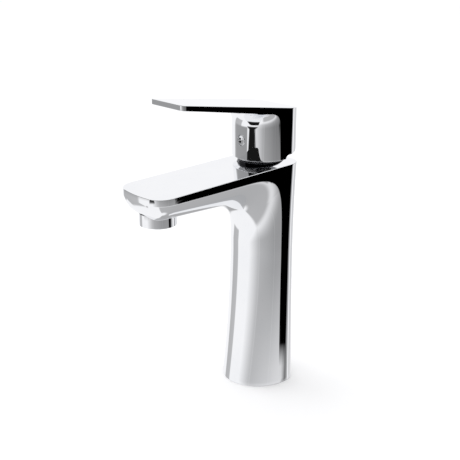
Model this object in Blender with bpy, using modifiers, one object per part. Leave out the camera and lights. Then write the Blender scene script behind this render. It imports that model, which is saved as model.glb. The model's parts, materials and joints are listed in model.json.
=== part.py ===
"""Single-lever basin mixer faucet, built as the separate pieces it comes apart into.

The frame has its origin at the middle of the base underside, +Z up and the spout along -Y.
The cartridge axis is vertical at (0, AXIS_Y): the lever turns about it to mix, and rocks about
the lever pin to open. Both castings are bent shells: a D-shaped upright that turns through a
soft inner bend into a flat-topped arm.
"""

import math

import bmesh
import bpy
import numpy as np
from mathutils import Matrix, Vector

MM = 0.001

# Base and column of the body casting.
BASE_HALF_WIDTH = 25.0 * MM
BASE_FRONT = 21.4 * MM
BASE_REAR = 21.4 * MM
BASE_REAR_RADIUS = 12.7 * MM
WAIST_HALF_WIDTH = 23.5 * MM
WAIST_FRONT = 14.0 * MM
WAIST_REAR_WALL = 2.2 * MM
WAIST_REAR_RADIUS = 9.4 * MM
WAIST_HEIGHT = 95.0 * MM
HEAD_HEIGHT = 157.08 * MM
HEAD_HALF_WIDTH = 23.74 * MM
HEAD_REAR_WALL = 1.34 * MM
HEAD_REAR_RADIUS = 10.4 * MM
HEAD_SLOPE = 0.071
BAND_FRONT_BASE = 3.0 * MM
BAND_FRONT_HEAD = 4.2 * MM
FLARE_POWER = 1.7

# Spout of the body casting.
SPOUT_REACH = 93.4 * MM
SPOUT_BOW = 0.8 * MM
SPOUT_TIP_HALF_WIDTH = 24.25 * MM
SPOUT_TIP_RADIUS = 12.2 * MM
SPOUT_BAND = 4.1 * MM
SPOUT_DEPTH = 18.8 * MM
SPOUT_ROOT = 22.0 * MM
ROOT_BAND_EXTRA = 0.8 * MM
KEEL_ROOT = 42.0 * MM
KEEL_END_BACK = 1.7 * MM
KEEL_BEND_DROP = 53.0 * MM
KEEL_BEND_RISE = 18.0 * MM
KEEL_BEND_TURN = 8.0 * MM
BAND_BEND_DROP = 43.0 * MM
BAND_BEND_RISE = 32.0 * MM
BAND_LEAN_START = 0.2 * MM
BAND_LEAN_END = 2.2 * MM
CREST_LEAD = 3.0 * MM

# Lever casting.
LEVER_RISE = 38.916 * MM
LEVER_SLOPE = -0.110
LEVER_REACH = 70.2 * MM
LEVER_REAR_PROUD = 0.02 * MM
LEVER_REAR_RADIUS = 10.96 * MM
LEVER_REAR_HALF_WIDTH = 23.5 * MM
LEVER_TIP_HALF_WIDTH = 17.4 * MM
LEVER_TIP_RADIUS = 3.0 * MM
LEVER_TIP_THICKNESS = 3.1 * MM
LEVER_ROOT_THICKNESS = 4.6 * MM
LEVER_CROWN = 0.4 * MM
LEVER_EDGE_ROOT = 4.0 * MM
LEVER_KEEL_ROOT = 26.0 * MM
LEVER_KEEL_END = 5.0 * MM
HUB_FRONT = 12.0 * MM
HUB_GAP = 3.8 * MM
HUB_BAND_FRONT = 4.0 * MM
HUB_BAND_LEAN = 0.8 * MM
HUB_BAND_LEAN_END = 0.9 * MM
HUB_EDGE_DROP = 7.0 * MM
HUB_EDGE_SOFT = 1.4 * MM
HUB_EDGE_TURN = 1.6 * MM
HUB_KEEL_DROP = 10.5 * MM
HUB_KEEL_RISE = 3.0 * MM
HUB_KEEL_TURN = 4.0 * MM
HUB_CREST_DROP = 12.0 * MM
HUB_STEP_RADIUS = 3.3 * MM
HUB_REAR_CUT_RADIUS = LEVER_REAR_RADIUS
HUB_REAR_CUT_RISE = 3.6 * MM

# Cartridge, its chamber and its parts.
AXIS_Y = 4.5 * MM
CHAMBER_DEPTH = 32.1 * MM
CHAMBER_RADIUS = 12.7 * MM
CARTRIDGE_CLEARANCE = 0.4 * MM
HOUSING_WALL = 1.6 * MM
COLLAR_WALL = 1.4 * MM
COLLAR_LIP = 1.35 * MM
COLLAR_LIP_HEIGHT = 1.6 * MM
NUT_OVERLAP = 1.6 * MM
NUT_HEIGHT = 4.0 * MM
NUT_SLOTS = 4
NUT_SLOT_HALF = 1.6 * MM
NUT_SLOT_DEPTH = 1.5 * MM
RING_OVERLAP = 1.2 * MM
RING_HEIGHT = 3.9 * MM
RING_GAP = 0.4 * MM
RING_ROUND = 1.2 * MM
RING_CHAMFER = 0.35 * MM
THREAD_CLEARANCE = 0.3 * MM
TOUCH = 0.3 * MM
SEAL_HEIGHT = 1.7 * MM
SEAL_SQUEEZE = 0.15 * MM
INLET_BACK = 3.0 * MM
INLET_TUBE_GAP = 2.0 * MM
INLET_TUBE_MARGIN = 0.57 * MM
INLET_TUBE_WALL = 1.5 * MM
INLET_TUBE_LENGTH = 3.0 * MM
OUTLET_FORWARD = 4.5 * MM
PORT_SHARE = 0.9
BASE_DISC_HEIGHT = 3.6 * MM
DISC_HEIGHT = 3.0 * MM
DISC_MARGIN = 0.6 * MM
MOVING_DISC_STEP = 2.4 * MM
POCKET_SIDE_RIM = 2.8 * MM
POCKET_FRONT_RIM = 2.4 * MM
POCKET_BACK = 0.5 * MM
POCKET_SHARE = 0.6
DRIVER_MARGIN = 0.36 * MM
DRIVER_HEIGHT = 4.6 * MM
GUIDE_FLANGE = 1.8 * MM
GUIDE_FLANGE_HEIGHT = 3.0 * MM
GUIDE_COVER = 1.8 * MM
GUIDE_HEAD = 5.0 * MM
GUIDE_SLOT_EXTRA = 2.1 * MM
O_RING_RADIUS = 0.5 * MM
O_RING_GROOVE = 0.9 * MM
O_RING_GROOVE_HALF = 1.0 * MM
O_RING_SIDES = 6
PIVOT_RISE = 3.6 * MM
PIN_RADIUS = 1.1 * MM
STEM_BALL_RADIUS = 3.0 * MM
STEM_ARM = 8.4 * MM
STEM_BARREL_RADIUS = 4.4 * MM
STEM_BARREL_HALF = 3.4 * MM
STEM_ARM_SHARE = 0.7
STEM_NECK_RADIUS = 3.0 * MM
STEM_SQUARE_HALF = 3.2 * MM
STEM_LENGTH = 30.0 * MM
STEM_SQUARE_LENGTH = 18.0 * MM
STEM_SQUARE_EDGE = 0.5 * MM
SOCKET_CLEARANCE = 0.3 * MM
LIFT_LIMIT = math.radians(20.0)
SCREW_RADIUS = 2.4 * MM
SCREW_LENGTH = 7.0 * MM
SCREW_DROP = 23.2 * MM
KEY_DEPTH = 2.5 * MM
KEY_SHARE = 0.6
PLUG_RADIUS = 3.6 * MM
PLUG_LENGTH = 2.4 * MM
PLUG_RECESS = 0.2 * MM

# Waterways, base and aerator.
FLOOR_HEIGHT = 10.0 * MM
COLUMN_WALL = 3.2 * MM
CORE_TOP_DROP = 45.0 * MM
CORE_LEVELS = 6
HOSE_PORT_RADIUS = 4.6 * MM
HOSE_PORT_SPREAD = 8.5 * MM
HOSE_PORT_FRONT = 2.0 * MM
PIPE_WALL = 2.4 * MM
STUD_RADIUS = 3.4 * MM
STUD_INSET = 8.9 * MM
WATERWAY_START = 8.0 * MM
WATERWAY_OVERRUN = 2.0 * MM
GASKET_INSET = 3.2 * MM
GASKET_WIDTH = 2.4 * MM
GASKET_HEIGHT = 2.2 * MM
OUTLET_BORE_RADIUS = 3.5 * MM
OUTLET_RISE = 3.2 * MM
OUTLET_INSET = 3.0 * MM
OUTLET_REACH = 40.0 * MM
SPOUT_CHANNEL_HALF = 13.0 * MM
SPOUT_CHANNEL_HEIGHT = 7.0 * MM
SPOUT_CHANNEL_ROOT = 36.0 * MM
SPOUT_CHANNEL_EDGE = 1.5 * MM
SPOUT_ROOF = 5.6 * MM
AERATOR_NOSE = 3.5 * MM
AERATOR_RADIUS = 11.9 * MM
AERATOR_CHAMFER = 0.4 * MM
AERATOR_SHELF = 1.0 * MM
AERATOR_SHELF_HEIGHT = 1.5 * MM
AERATOR_DROP = 3.9 * MM
AERATOR_COLLAR = 8.0 * MM
AERATOR_LIP = 1.0 * MM
AERATOR_NECK = 6.6 * MM
AERATOR_WALL = 1.6 * MM
WASHER_HEIGHT = 1.2 * MM
SCREEN_HEIGHT = 0.8 * MM
SCREEN_OPENING_HALF = 1.1 * MM
SCREEN_PITCH_SHARE = 0.42
INSERT_HOLES = 6
INSERT_HOLE_RADIUS = 1.6 * MM
INSERT_HOLE_SHARE = 0.6
INSERT_HEIGHT = 9.0 * MM

# How finely the solids are divided.
ARCH_STEPS = 7
COLUMN_STEPS = 6
BEND_STEPS = 12
BEND_CORNER_STEP = 5
ARM_STEPS = 4
CORNER_STEPS = 5
FRONT_STEPS = 2
REAR_STEPS = 4
ROUND = 40
SMALL_ROUND = 20
JET_ROUND = 12
HEX = 6
BALL_RINGS = 10
HUB_STEPS = 3
CORE_CORNER_STEPS = 6
RELIEF_STEP_STEPS = 3
RELIEF_ARC_STEPS = 8
SMOOTH_ANGLE = math.radians(35.0)
WELD = 0.00001

# How far a cutter runs past the surface it cuts.
OVERCUT = 1.0 * MM
FAR_CUT = 10.0 * MM
DEEP_CUT = 20.0 * MM

PARTS = "bathroom_mixer_faucet"
CUTTERS = "cutters"

# Radii that fit inside one another, from the chamber inwards and outwards.
HOUSING_RADIUS = CHAMBER_RADIUS - CARTRIDGE_CLEARANCE
HOUSING_BORE_RADIUS = HOUSING_RADIUS - HOUSING_WALL
RUN = HOUSING_BORE_RADIUS - TOUCH
NUT_RADIUS = CHAMBER_RADIUS + NUT_OVERLAP
RING_RADIUS = NUT_RADIUS + RING_OVERLAP
GUIDE_RADIUS = RUN - GUIDE_FLANGE
COLLAR_RADIUS = GUIDE_RADIUS + TOUCH + COLLAR_WALL
COLLAR_BORE_RADIUS = GUIDE_RADIUS - COLLAR_LIP
GUIDE_SLOT_HALF = STEM_BARREL_RADIUS + GUIDE_SLOT_EXTRA
SLIDE_TRAVEL = STEM_ARM * math.sin(LIFT_LIMIT)
DRIVER_RADIUS = RUN - SLIDE_TRAVEL / 2 - DRIVER_MARGIN
FIXED_DISC_RADIUS = RUN - DISC_MARGIN
MOVING_DISC_RADIUS = FIXED_DISC_RADIUS - MOVING_DISC_STEP
AERATOR_NECK_RADIUS = AERATOR_RADIUS - AERATOR_LIP

# The two inlet tubes are the largest pair that fits side by side within the housing.
TUBE_REACH = RUN - INLET_TUBE_MARGIN
HALF_GAP = INLET_TUBE_GAP / 2
INLET_TUBE_RADIUS = (TUBE_REACH**2 - INLET_BACK**2 - HALF_GAP**2) / (2 * (TUBE_REACH + HALF_GAP))
INLET_SPREAD = INLET_TUBE_RADIUS + HALF_GAP
INLET_RADIUS = INLET_TUBE_RADIUS - INLET_TUBE_WALL

# Outer sizes that follow what they hold.
HEAD_REAR = AXIS_Y + RING_RADIUS + TOUCH + HEAD_REAR_WALL
WAIST_REAR = AXIS_Y + CHAMBER_RADIUS + WAIST_REAR_WALL
LEVER_REAR = HEAD_REAR + LEVER_REAR_PROUD
LEVER_HEIGHT = HEAD_HEIGHT + LEVER_RISE
AERATOR_Y = AERATOR_RADIUS + AERATOR_NOSE - SPOUT_REACH

# Heights along the cartridge axis, stacked from the chamber floor.
CHAMBER_FLOOR = HEAD_HEIGHT - CHAMBER_DEPTH
SEAL_BOTTOM = CHAMBER_FLOOR + SEAL_SQUEEZE
TUBE_BOTTOM = SEAL_BOTTOM + SEAL_HEIGHT + SEAL_SQUEEZE
BASE_DISC_BOTTOM = TUBE_BOTTOM + INLET_TUBE_LENGTH
FIXED_DISC_BOTTOM = BASE_DISC_BOTTOM + BASE_DISC_HEIGHT + TOUCH
MOVING_DISC_BOTTOM = FIXED_DISC_BOTTOM + DISC_HEIGHT + TOUCH
DRIVER_BOTTOM = MOVING_DISC_BOTTOM + DISC_HEIGHT + TOUCH
GUIDE_BOTTOM = DRIVER_BOTTOM + DRIVER_HEIGHT + TOUCH
GUIDE_SHOULDER = GUIDE_BOTTOM + GUIDE_FLANGE_HEIGHT
HOUSING_SHOULDER = GUIDE_SHOULDER + GUIDE_COVER
PIVOT_HEIGHT = GUIDE_SHOULDER + PIVOT_RISE
GUIDE_TOP = PIVOT_HEIGHT + GUIDE_HEAD
COLLAR_TOP = GUIDE_TOP + COLLAR_LIP_HEIGHT
NUT_BOTTOM = HOUSING_SHOULDER + TOUCH
NUT_TOP = NUT_BOTTOM + NUT_HEIGHT
RING_BOTTOM = NUT_TOP + RING_GAP
RING_TOP = RING_BOTTOM + RING_HEIGHT


def head_top(y):
    """Height of the body's sloped top face."""
    return HEAD_HEIGHT + HEAD_SLOPE * y


def lever_top(y):
    """Height of the lever's sloped top face."""
    return LEVER_HEIGHT + LEVER_SLOPE * y


def hub_bottom(y):
    """Height of the hub's underside, parallel to the body's top face."""
    return head_top(y) + HUB_GAP


def clear_scene():
    for obj in list(bpy.data.objects):
        bpy.data.objects.remove(obj, do_unlink=True)


def make_collection(name, hidden):
    collection = bpy.data.collections.new(name)
    bpy.context.scene.collection.children.link(collection)
    collection.hide_render = hidden
    return collection


def make_material(name, color, roughness, metallic):
    material = bpy.data.materials.new(name)
    material.use_nodes = True
    shader = material.node_tree.nodes["Principled BSDF"]
    shader.inputs["Base Color"].default_value = (*color, 1.0)
    shader.inputs["Roughness"].default_value = roughness
    shader.inputs["Metallic"].default_value = metallic
    return material


def add_object(name, mesh, material, parent=None, origin=(0.0, 0.0, 0.0)):
    """Link a mesh, given in world coordinates, with its own origin at the given point."""
    mesh.transform(Matrix.Translation(-Vector(origin)))
    mesh.materials.clear()
    mesh.materials.append(material)
    mesh.shade_smooth()
    mesh.set_sharp_from_angle(angle=SMOOTH_ANGLE)
    obj = bpy.data.objects.new(name, mesh)
    bpy.data.collections[PARTS].objects.link(obj)
    obj.parent = parent
    obj.location = Vector(origin) - (parent.matrix_world.translation if parent else Vector())
    return obj


def add_empty(name, point, parent=None):
    empty = bpy.data.objects.new(name, None)
    bpy.data.collections[PARTS].objects.link(empty)
    empty.parent = parent
    empty.location = Vector(point) - (parent.matrix_world.translation if parent else Vector())
    bpy.context.view_layer.update()
    return empty


def cutter_object(name, mesh):
    obj = bpy.data.objects.new(name, mesh)
    obj.hide_render = True
    obj.display_type = "WIRE"
    bpy.data.collections[CUTTERS].objects.link(obj)
    return obj


def boolean(obj, mesh, operation="DIFFERENCE"):
    """Cut a mesh, given in world coordinates, out of an object, or join it on."""
    cutter = cutter_object(f"{obj.name}_tool_{len(obj.modifiers)}", mesh)
    modifier = obj.modifiers.new(f"{operation.lower()}_{len(obj.modifiers)}", "BOOLEAN")
    modifier.operation = operation
    modifier.solver = "EXACT"
    modifier.object = cutter
    return cutter


def mesh_from(bm, name):
    bmesh.ops.remove_doubles(bm, verts=bm.verts, dist=WELD)
    bmesh.ops.recalc_face_normals(bm, faces=bm.faces)
    mesh = bpy.data.meshes.new(name)
    bm.to_mesh(mesh)
    bm.free()
    return mesh


def cylinder(name, start, end, radius, segments=ROUND):
    """A cylinder between two points, with flats rather than corners on the middle plane."""
    start = Vector(start)
    end = Vector(end)
    axis = end - start
    bm = bmesh.new()
    bmesh.ops.create_cone(
        bm,
        cap_ends=True,
        segments=segments,
        radius1=radius,
        radius2=radius,
        depth=axis.length,
    )
    flats = Matrix.Rotation(math.pi / segments, 4, "Z")
    turn = Vector((0.0, 0.0, 1.0)).rotation_difference(axis).to_matrix().to_4x4()
    bmesh.ops.transform(bm, matrix=Matrix.Translation((start + end) / 2) @ turn @ flats, verts=bm.verts)
    return mesh_from(bm, name)


def upright(name, x, y, bottom, top, radius, segments=ROUND):
    return cylinder(name, (x, y, bottom), (x, y, top), radius, segments)


def block(name, low, high, bevel=0.0):
    """A box between two corners, with its edges rounded if asked."""
    low = Vector(low)
    high = Vector(high)
    bm = bmesh.new()
    bmesh.ops.create_cube(bm, size=1.0)
    size = high - low
    bmesh.ops.scale(bm, vec=size, verts=bm.verts)
    bmesh.ops.translate(bm, vec=(low + high) / 2, verts=bm.verts)
    if bevel:
        bmesh.ops.bevel(bm, geom=bm.edges, offset=bevel, segments=2, affect="EDGES", profile=0.5)
    return mesh_from(bm, name)


def turned(name, profile, axis_y, segments=ROUND):
    """Screw a closed profile of (radius, height) points about the vertical line at axis_y."""
    mesh = bpy.data.meshes.new(name)
    count = len(profile)
    edges = [(i, (i + 1) % count) for i in range(count)]
    mesh.from_pydata([(r, 0.0, z) for r, z in profile], edges, [])
    guide = cutter_object(f"{name}_profile", mesh)
    screw = guide.modifiers.new("turn", "SCREW")
    screw.steps = segments
    screw.render_steps = segments
    screw.use_merge_vertices = True
    screw.merge_threshold = WELD
    screw.use_normal_calculate = True
    depsgraph = bpy.context.evaluated_depsgraph_get()
    solid = bpy.data.meshes.new_from_object(guide.evaluated_get(depsgraph))
    bpy.data.objects.remove(guide, do_unlink=True)
    bm = bmesh.new()
    bm.from_mesh(solid)
    flats = Matrix.Rotation(math.pi / segments, 4, "Z")
    bmesh.ops.transform(bm, matrix=Matrix.Translation((0.0, axis_y, 0.0)) @ flats, verts=bm.verts)
    return mesh_from(bm, name)


def tube(name, outer, inner, bottom, top, axis_y, segments=ROUND):
    """A plain ring: the outer side runs from top to bottom, the inner side back up."""
    return turned(name, [(outer, top), (outer, bottom), (inner, bottom), (inner, top)], axis_y, segments)


def bezier(points, t):
    """The point at t on a cubic curve with four control points."""
    weights = ((1 - t) ** 3, 3 * t * (1 - t) ** 2, 3 * t * t * (1 - t), t**3)
    return np.array(points).T @ np.array(weights)


def blend(low, high, share):
    return low + (high - low) * share


class Station:
    """One rib of a bent shell.

    edge is where the flat side band gives way to the rounded inner side, keel is the lowest
    or foremost point of that inner side on the middle plane, and crest is where the side band
    ends at the rear corner or at the top face. fan is 1 where the ribs spread round the tip.
    """

    def __init__(self, edge, keel, crest, fan=0.0):
        self.edge = np.array(edge)
        self.keel = np.array((0.0, *keel))
        self.crest = np.array(crest)
        self.fan = fan

    def arch(self):
        """Points from the edge to the keel, on a quarter ellipse."""
        side = np.array((self.edge[0], self.fan * (self.edge[1] - self.keel[1]), 0.0))
        middle = self.edge - side
        drop = self.keel - middle
        for step in range(ARCH_STEPS + 1):
            angle = math.pi / 2 * step / ARCH_STEPS
            yield middle + side * math.cos(angle) + drop * math.sin(angle)


def rear_sweep(crest, radius, rear, slope):
    """Points from the rear end of the side band round the corner to the middle of the back."""
    half, start, height = crest
    reach = rear - start
    for step in range(REAR_STEPS + 1):
        angle = math.pi / 2 * step / REAR_STEPS
        y = start + reach * math.sin(angle)
        yield np.array((half - radius * (1.0 - math.cos(angle)), y, height + slope * (y - start)))
    yield np.array((0.0, rear, height + slope * reach))


def bent_shell(name, stations, corner, sweeps):
    """Half of a closed casting: ribs, side band, rear sweep, flat top and flat bottom."""
    bm = bmesh.new()
    rows = []
    for index, station in enumerate(stations):
        row = [bm.verts.new(point) for point in reversed(list(station.arch()))]
        row.append(bm.verts.new(station.crest))
        if index <= corner:
            row += [bm.verts.new(point) for point in list(sweeps[index])[1:]]
        rows.append(row)
    for low, high in zip(rows, rows[1:]):
        for column in range(min(len(low), len(high)) - 1):
            ring = [low[column], low[column + 1], high[column + 1], high[column]]
            bm.faces.new(ring)
    edge = ARCH_STEPS + 1
    bm.faces.new(rows[0])
    bm.faces.new([row[edge] for row in rows[corner:]] + list(reversed(rows[corner][edge + 1 :])))
    mesh = bpy.data.meshes.new(name)
    bmesh.ops.remove_doubles(bm, verts=bm.verts, dist=WELD)
    bmesh.ops.recalc_face_normals(bm, faces=bm.faces)
    copies = bmesh.ops.duplicate(bm, geom=bm.verts[:] + bm.edges[:] + bm.faces[:])
    mirrored = [item for item in copies["geom"] if isinstance(item, bmesh.types.BMVert)]
    bmesh.ops.scale(bm, vec=(-1.0, 1.0, 1.0), verts=mirrored)
    bmesh.ops.reverse_faces(bm, faces=[f for f in copies["geom"] if isinstance(f, bmesh.types.BMFace)])
    bmesh.ops.remove_doubles(bm, verts=bm.verts, dist=WELD)
    bmesh.ops.recalc_face_normals(bm, faces=bm.faces)
    bm.to_mesh(mesh)
    bm.free()
    return mesh


def tip_outline(half, reach, radius, bow):
    """Plan points of the arm's end, from the side round the corner to the middle."""
    for step in range(CORNER_STEPS + 1):
        angle = math.pi / 2 * step / CORNER_STEPS
        yield half - radius + radius * math.cos(angle), -reach + radius - radius * math.sin(angle)
    flat = half - radius
    for step in range(1, FRONT_STEPS + 1):
        x = flat * (1.0 - step / FRONT_STEPS)
        yield x, -reach - bow * (1.0 - (x / flat) ** 2)


def column_section(z):
    """Half width, band front, keel, rear and rear radius of the column at a height."""
    if z < WAIST_HEIGHT:
        share = (1.0 - z / WAIST_HEIGHT) ** FLARE_POWER
        width, front, rear, radius = BASE_HALF_WIDTH, BASE_FRONT, BASE_REAR, BASE_REAR_RADIUS
    else:
        share = ((z - WAIST_HEIGHT) / (HEAD_HEIGHT - WAIST_HEIGHT)) ** 2
        width, front, rear, radius = HEAD_HALF_WIDTH, WAIST_FRONT, HEAD_REAR, HEAD_REAR_RADIUS
    band = blend(BAND_FRONT_BASE, BAND_FRONT_HEAD, min(1.0, z / WAIST_HEIGHT))
    return (
        blend(WAIST_HALF_WIDTH, width, share),
        band,
        -blend(WAIST_FRONT, front, share),
        blend(WAIST_REAR, rear, share),
        blend(WAIST_REAR_RADIUS, radius, share),
    )


def body_stations():
    """Ribs of the body casting from the base, up the column, round the bend and along the spout."""
    stations = []
    sweeps = []
    band_start = HEAD_HEIGHT - BAND_BEND_DROP
    keel_start = HEAD_HEIGHT - KEEL_BEND_DROP
    crest_start = band_start + CREST_LEAD
    rear_line = HEAD_REAR - HEAD_REAR_RADIUS
    top_corner = head_top(rear_line)

    def add_upright(edge, keel, crest_height):
        half, _, _, rear, radius = column_section(crest_height)
        crest = (half, rear - radius, crest_height)
        stations.append(Station((half, *edge), keel, crest))
        slope = HEAD_SLOPE * crest_height / top_corner
        sweeps.append(rear_sweep(crest, radius, rear, slope))

    for step in range(COLUMN_STEPS):
        share = step / COLUMN_STEPS
        edge_height = band_start * share
        keel_height = keel_start * share
        edge = (column_section(edge_height)[1], edge_height)
        add_upright(edge, (column_section(keel_height)[2], keel_height), crest_start * share)

    root_y = -SPOUT_ROOT
    root_band = SPOUT_BAND + ROOT_BAND_EXTRA
    band_root = head_top(root_y) - root_band
    tip_edge_y = -SPOUT_REACH + SPOUT_TIP_RADIUS
    band_tip = head_top(tip_edge_y) - SPOUT_BAND
    fall = (band_root - band_tip) / (root_y - tip_edge_y)
    band_edge = column_section(band_start)[1]
    band_curve = (
        (band_edge, band_start),
        (band_edge - BAND_LEAN_START, band_start + BAND_BEND_RISE),
        (band_edge - BAND_LEAN_END, head_top(0.0) - root_band),
        (root_y, band_root),
    )
    keel_end_y = tip_edge_y + KEEL_END_BACK
    keel_level = head_top(tip_edge_y) - SPOUT_DEPTH
    keel_root_y = -KEEL_ROOT
    keel_curve = (
        (-WAIST_FRONT, keel_start),
        (-WAIST_FRONT, keel_start + KEEL_BEND_RISE),
        (-WAIST_FRONT - KEEL_BEND_TURN, keel_level),
        (keel_root_y, keel_level),
    )
    half = HEAD_HALF_WIDTH
    for step in range(BEND_STEPS + 1):
        t = step / BEND_STEPS
        edge = bezier(band_curve, t)
        keel = bezier(keel_curve, t)
        if step <= BEND_CORNER_STEP:
            add_upright(edge, keel, blend(crest_start, top_corner, step / BEND_CORNER_STEP))
            continue
        along = (step - BEND_CORNER_STEP) / (BEND_STEPS - BEND_CORNER_STEP)
        y = blend(rear_line, root_y, along)
        stations.append(Station((half, *edge), keel, (half, y, head_top(y))))

    for step in range(1, ARM_STEPS + 1):
        share = step / ARM_STEPS
        width = blend(half, SPOUT_TIP_HALF_WIDTH, share)
        y = blend(root_y, tip_edge_y, share)
        edge = (width, y, band_root + fall * (y - root_y))
        keel = (blend(keel_root_y, keel_end_y, share), keel_level)
        stations.append(Station(edge, keel, (width, y, head_top(y)), share))

    outline = list(tip_outline(SPOUT_TIP_HALF_WIDTH, SPOUT_REACH, SPOUT_TIP_RADIUS, SPOUT_BOW))
    for x, y in outline[1:]:
        edge = (x, y, head_top(y) - SPOUT_BAND)
        stations.append(Station(edge, (keel_end_y, keel_level), (x, y, head_top(y)), 1.0))
    return stations, COLUMN_STEPS + BEND_CORNER_STEP, sweeps


def lever_half_width(y):
    """Half width of the lever, which narrows in a straight line to its tip."""
    share = (LEVER_REAR - y) / (LEVER_REAR + LEVER_REACH)
    return blend(LEVER_REAR_HALF_WIDTH, LEVER_TIP_HALF_WIDTH, share)


def plate_bottom(y):
    """Height of the lower edge of the lever plate's side band."""
    share = min(1.0, max(0.0, -y / LEVER_REACH))
    return lever_top(y) - blend(LEVER_ROOT_THICKNESS, LEVER_TIP_THICKNESS, share)


def lever_stations():
    """Ribs of the lever from the hub's foot, round the inner corner and along the plate."""
    stations = []
    sweeps = []
    rear_line = LEVER_REAR - LEVER_REAR_RADIUS
    corner_edge = plate_bottom(0.0) - HUB_EDGE_DROP
    corner_keel = plate_bottom(0.0) - HUB_KEEL_DROP
    crest_start = lever_top(rear_line) - HUB_CREST_DROP
    top_corner = lever_top(rear_line)
    bottom = hub_bottom(rear_line)

    def add_upright(edge, keel, crest_height):
        crest = (lever_half_width(rear_line), rear_line, crest_height)
        stations.append(Station((lever_half_width(edge[0]), *edge), keel, crest))
        rise = (crest_height - bottom) / (top_corner - bottom)
        sweeps.append(rear_sweep(crest, LEVER_REAR_RADIUS, LEVER_REAR, blend(HEAD_SLOPE, LEVER_SLOPE, rise)))

    for step in range(HUB_STEPS):
        share = step / HUB_STEPS
        edge = (HUB_BAND_FRONT - HUB_BAND_LEAN * share, blend(hub_bottom(HUB_BAND_FRONT), corner_edge, share))
        keel = (-HUB_FRONT, blend(hub_bottom(-HUB_FRONT), corner_keel, share))
        add_upright(edge, keel, blend(bottom, crest_start, share))

    edge_root = -LEVER_EDGE_ROOT
    keel_root = -LEVER_KEEL_ROOT
    keel_turn = -HUB_FRONT - HUB_KEEL_TURN
    band_curve = (
        (HUB_BAND_FRONT - HUB_BAND_LEAN, corner_edge),
        (HUB_BAND_FRONT - HUB_BAND_LEAN_END, plate_bottom(0.0) - HUB_EDGE_SOFT),
        (HUB_EDGE_TURN, plate_bottom(HUB_EDGE_TURN)),
        (edge_root, plate_bottom(edge_root)),
    )
    keel_curve = (
        (-HUB_FRONT, corner_keel),
        (-HUB_FRONT, plate_bottom(-HUB_FRONT) - HUB_KEEL_RISE),
        (keel_turn, plate_bottom(keel_turn) - LEVER_CROWN),
        (keel_root, plate_bottom(keel_root) - LEVER_CROWN),
    )
    for step in range(BEND_STEPS + 1):
        t = step / BEND_STEPS
        edge = bezier(band_curve, t)
        keel = bezier(keel_curve, t)
        if step <= BEND_CORNER_STEP:
            add_upright(edge, keel, blend(crest_start, top_corner, step / BEND_CORNER_STEP))
            continue
        along = (step - BEND_CORNER_STEP) / (BEND_STEPS - BEND_CORNER_STEP)
        y = blend(rear_line, edge_root, along)
        crest = (lever_half_width(y), y, lever_top(y))
        stations.append(Station((lever_half_width(edge[0]), *edge), keel, crest))

    tip_edge = -LEVER_REACH + LEVER_TIP_RADIUS
    keel_end = tip_edge + LEVER_KEEL_END
    for step in range(1, ARM_STEPS + 1):
        share = step / ARM_STEPS
        y = blend(edge_root, tip_edge, share)
        keel_y = blend(keel_root, keel_end, share)
        width = lever_half_width(y)
        keel = (keel_y, plate_bottom(keel_y) - LEVER_CROWN)
        stations.append(Station((width, y, plate_bottom(y)), keel, (width, y, lever_top(y)), share))

    keel = (keel_end, plate_bottom(keel_end) - LEVER_CROWN)
    outline = list(tip_outline(lever_half_width(tip_edge), LEVER_REACH, LEVER_TIP_RADIUS, 0.0))
    for x, y in outline[1:]:
        stations.append(Station((x, y, plate_bottom(y)), keel, (x, y, lever_top(y)), 1.0))
    return stations, HUB_STEPS + BEND_CORNER_STEP, sweeps


def section_ring(z, inset):
    """The column's outline at a height, moved in by a wall, as plan points."""
    half, band, keel, rear, radius = column_section(z)
    right = []
    for step in range(CORE_CORNER_STEPS + 1):
        angle = math.pi / 2 * step / CORE_CORNER_STEPS
        right.append(((half - inset) * math.sin(angle), band + (keel + inset - band) * math.cos(angle)))
    inner = max(radius - inset, inset)
    for step in range(REAR_STEPS + 1):
        angle = math.pi / 2 * step / REAR_STEPS
        x = half - inset - inner * (1.0 - math.cos(angle))
        right.append((x, rear - inset - inner * (1.0 - math.sin(angle))))
    left = [(-x, y) for x, y in reversed(right) if x > WELD]
    return right + left


def loft(name, rings):
    """A closed solid through rings of points with the same count."""
    bm = bmesh.new()
    rows = [[bm.verts.new(point) for point in ring] for ring in rings]
    for low, high in zip(rows, rows[1:]):
        for index in range(len(low)):
            after = (index + 1) % len(low)
            bm.faces.new((low[index], low[after], high[after], high[index]))
    bm.faces.new(rows[0])
    bm.faces.new(rows[-1])
    return mesh_from(bm, name)


def column_core():
    """The hollow inside the column, above its floor."""
    top = HEAD_HEIGHT - CORE_TOP_DROP
    rings = []
    for level in range(CORE_LEVELS):
        z = blend(FLOOR_HEIGHT, top, level / (CORE_LEVELS - 1))
        rings.append([(x, y, z) for x, y in section_ring(z, COLUMN_WALL)])
    return loft("column_core", rings)


def water_line(side):
    """Start and end of one inlet waterway, from the hose port to the chamber floor."""
    start = Vector((side * HOSE_PORT_SPREAD, -HOSE_PORT_FRONT, 0.0))
    end = Vector((side * INLET_SPREAD, AXIS_Y + INLET_BACK, CHAMBER_FLOOR))
    return start, end


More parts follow.
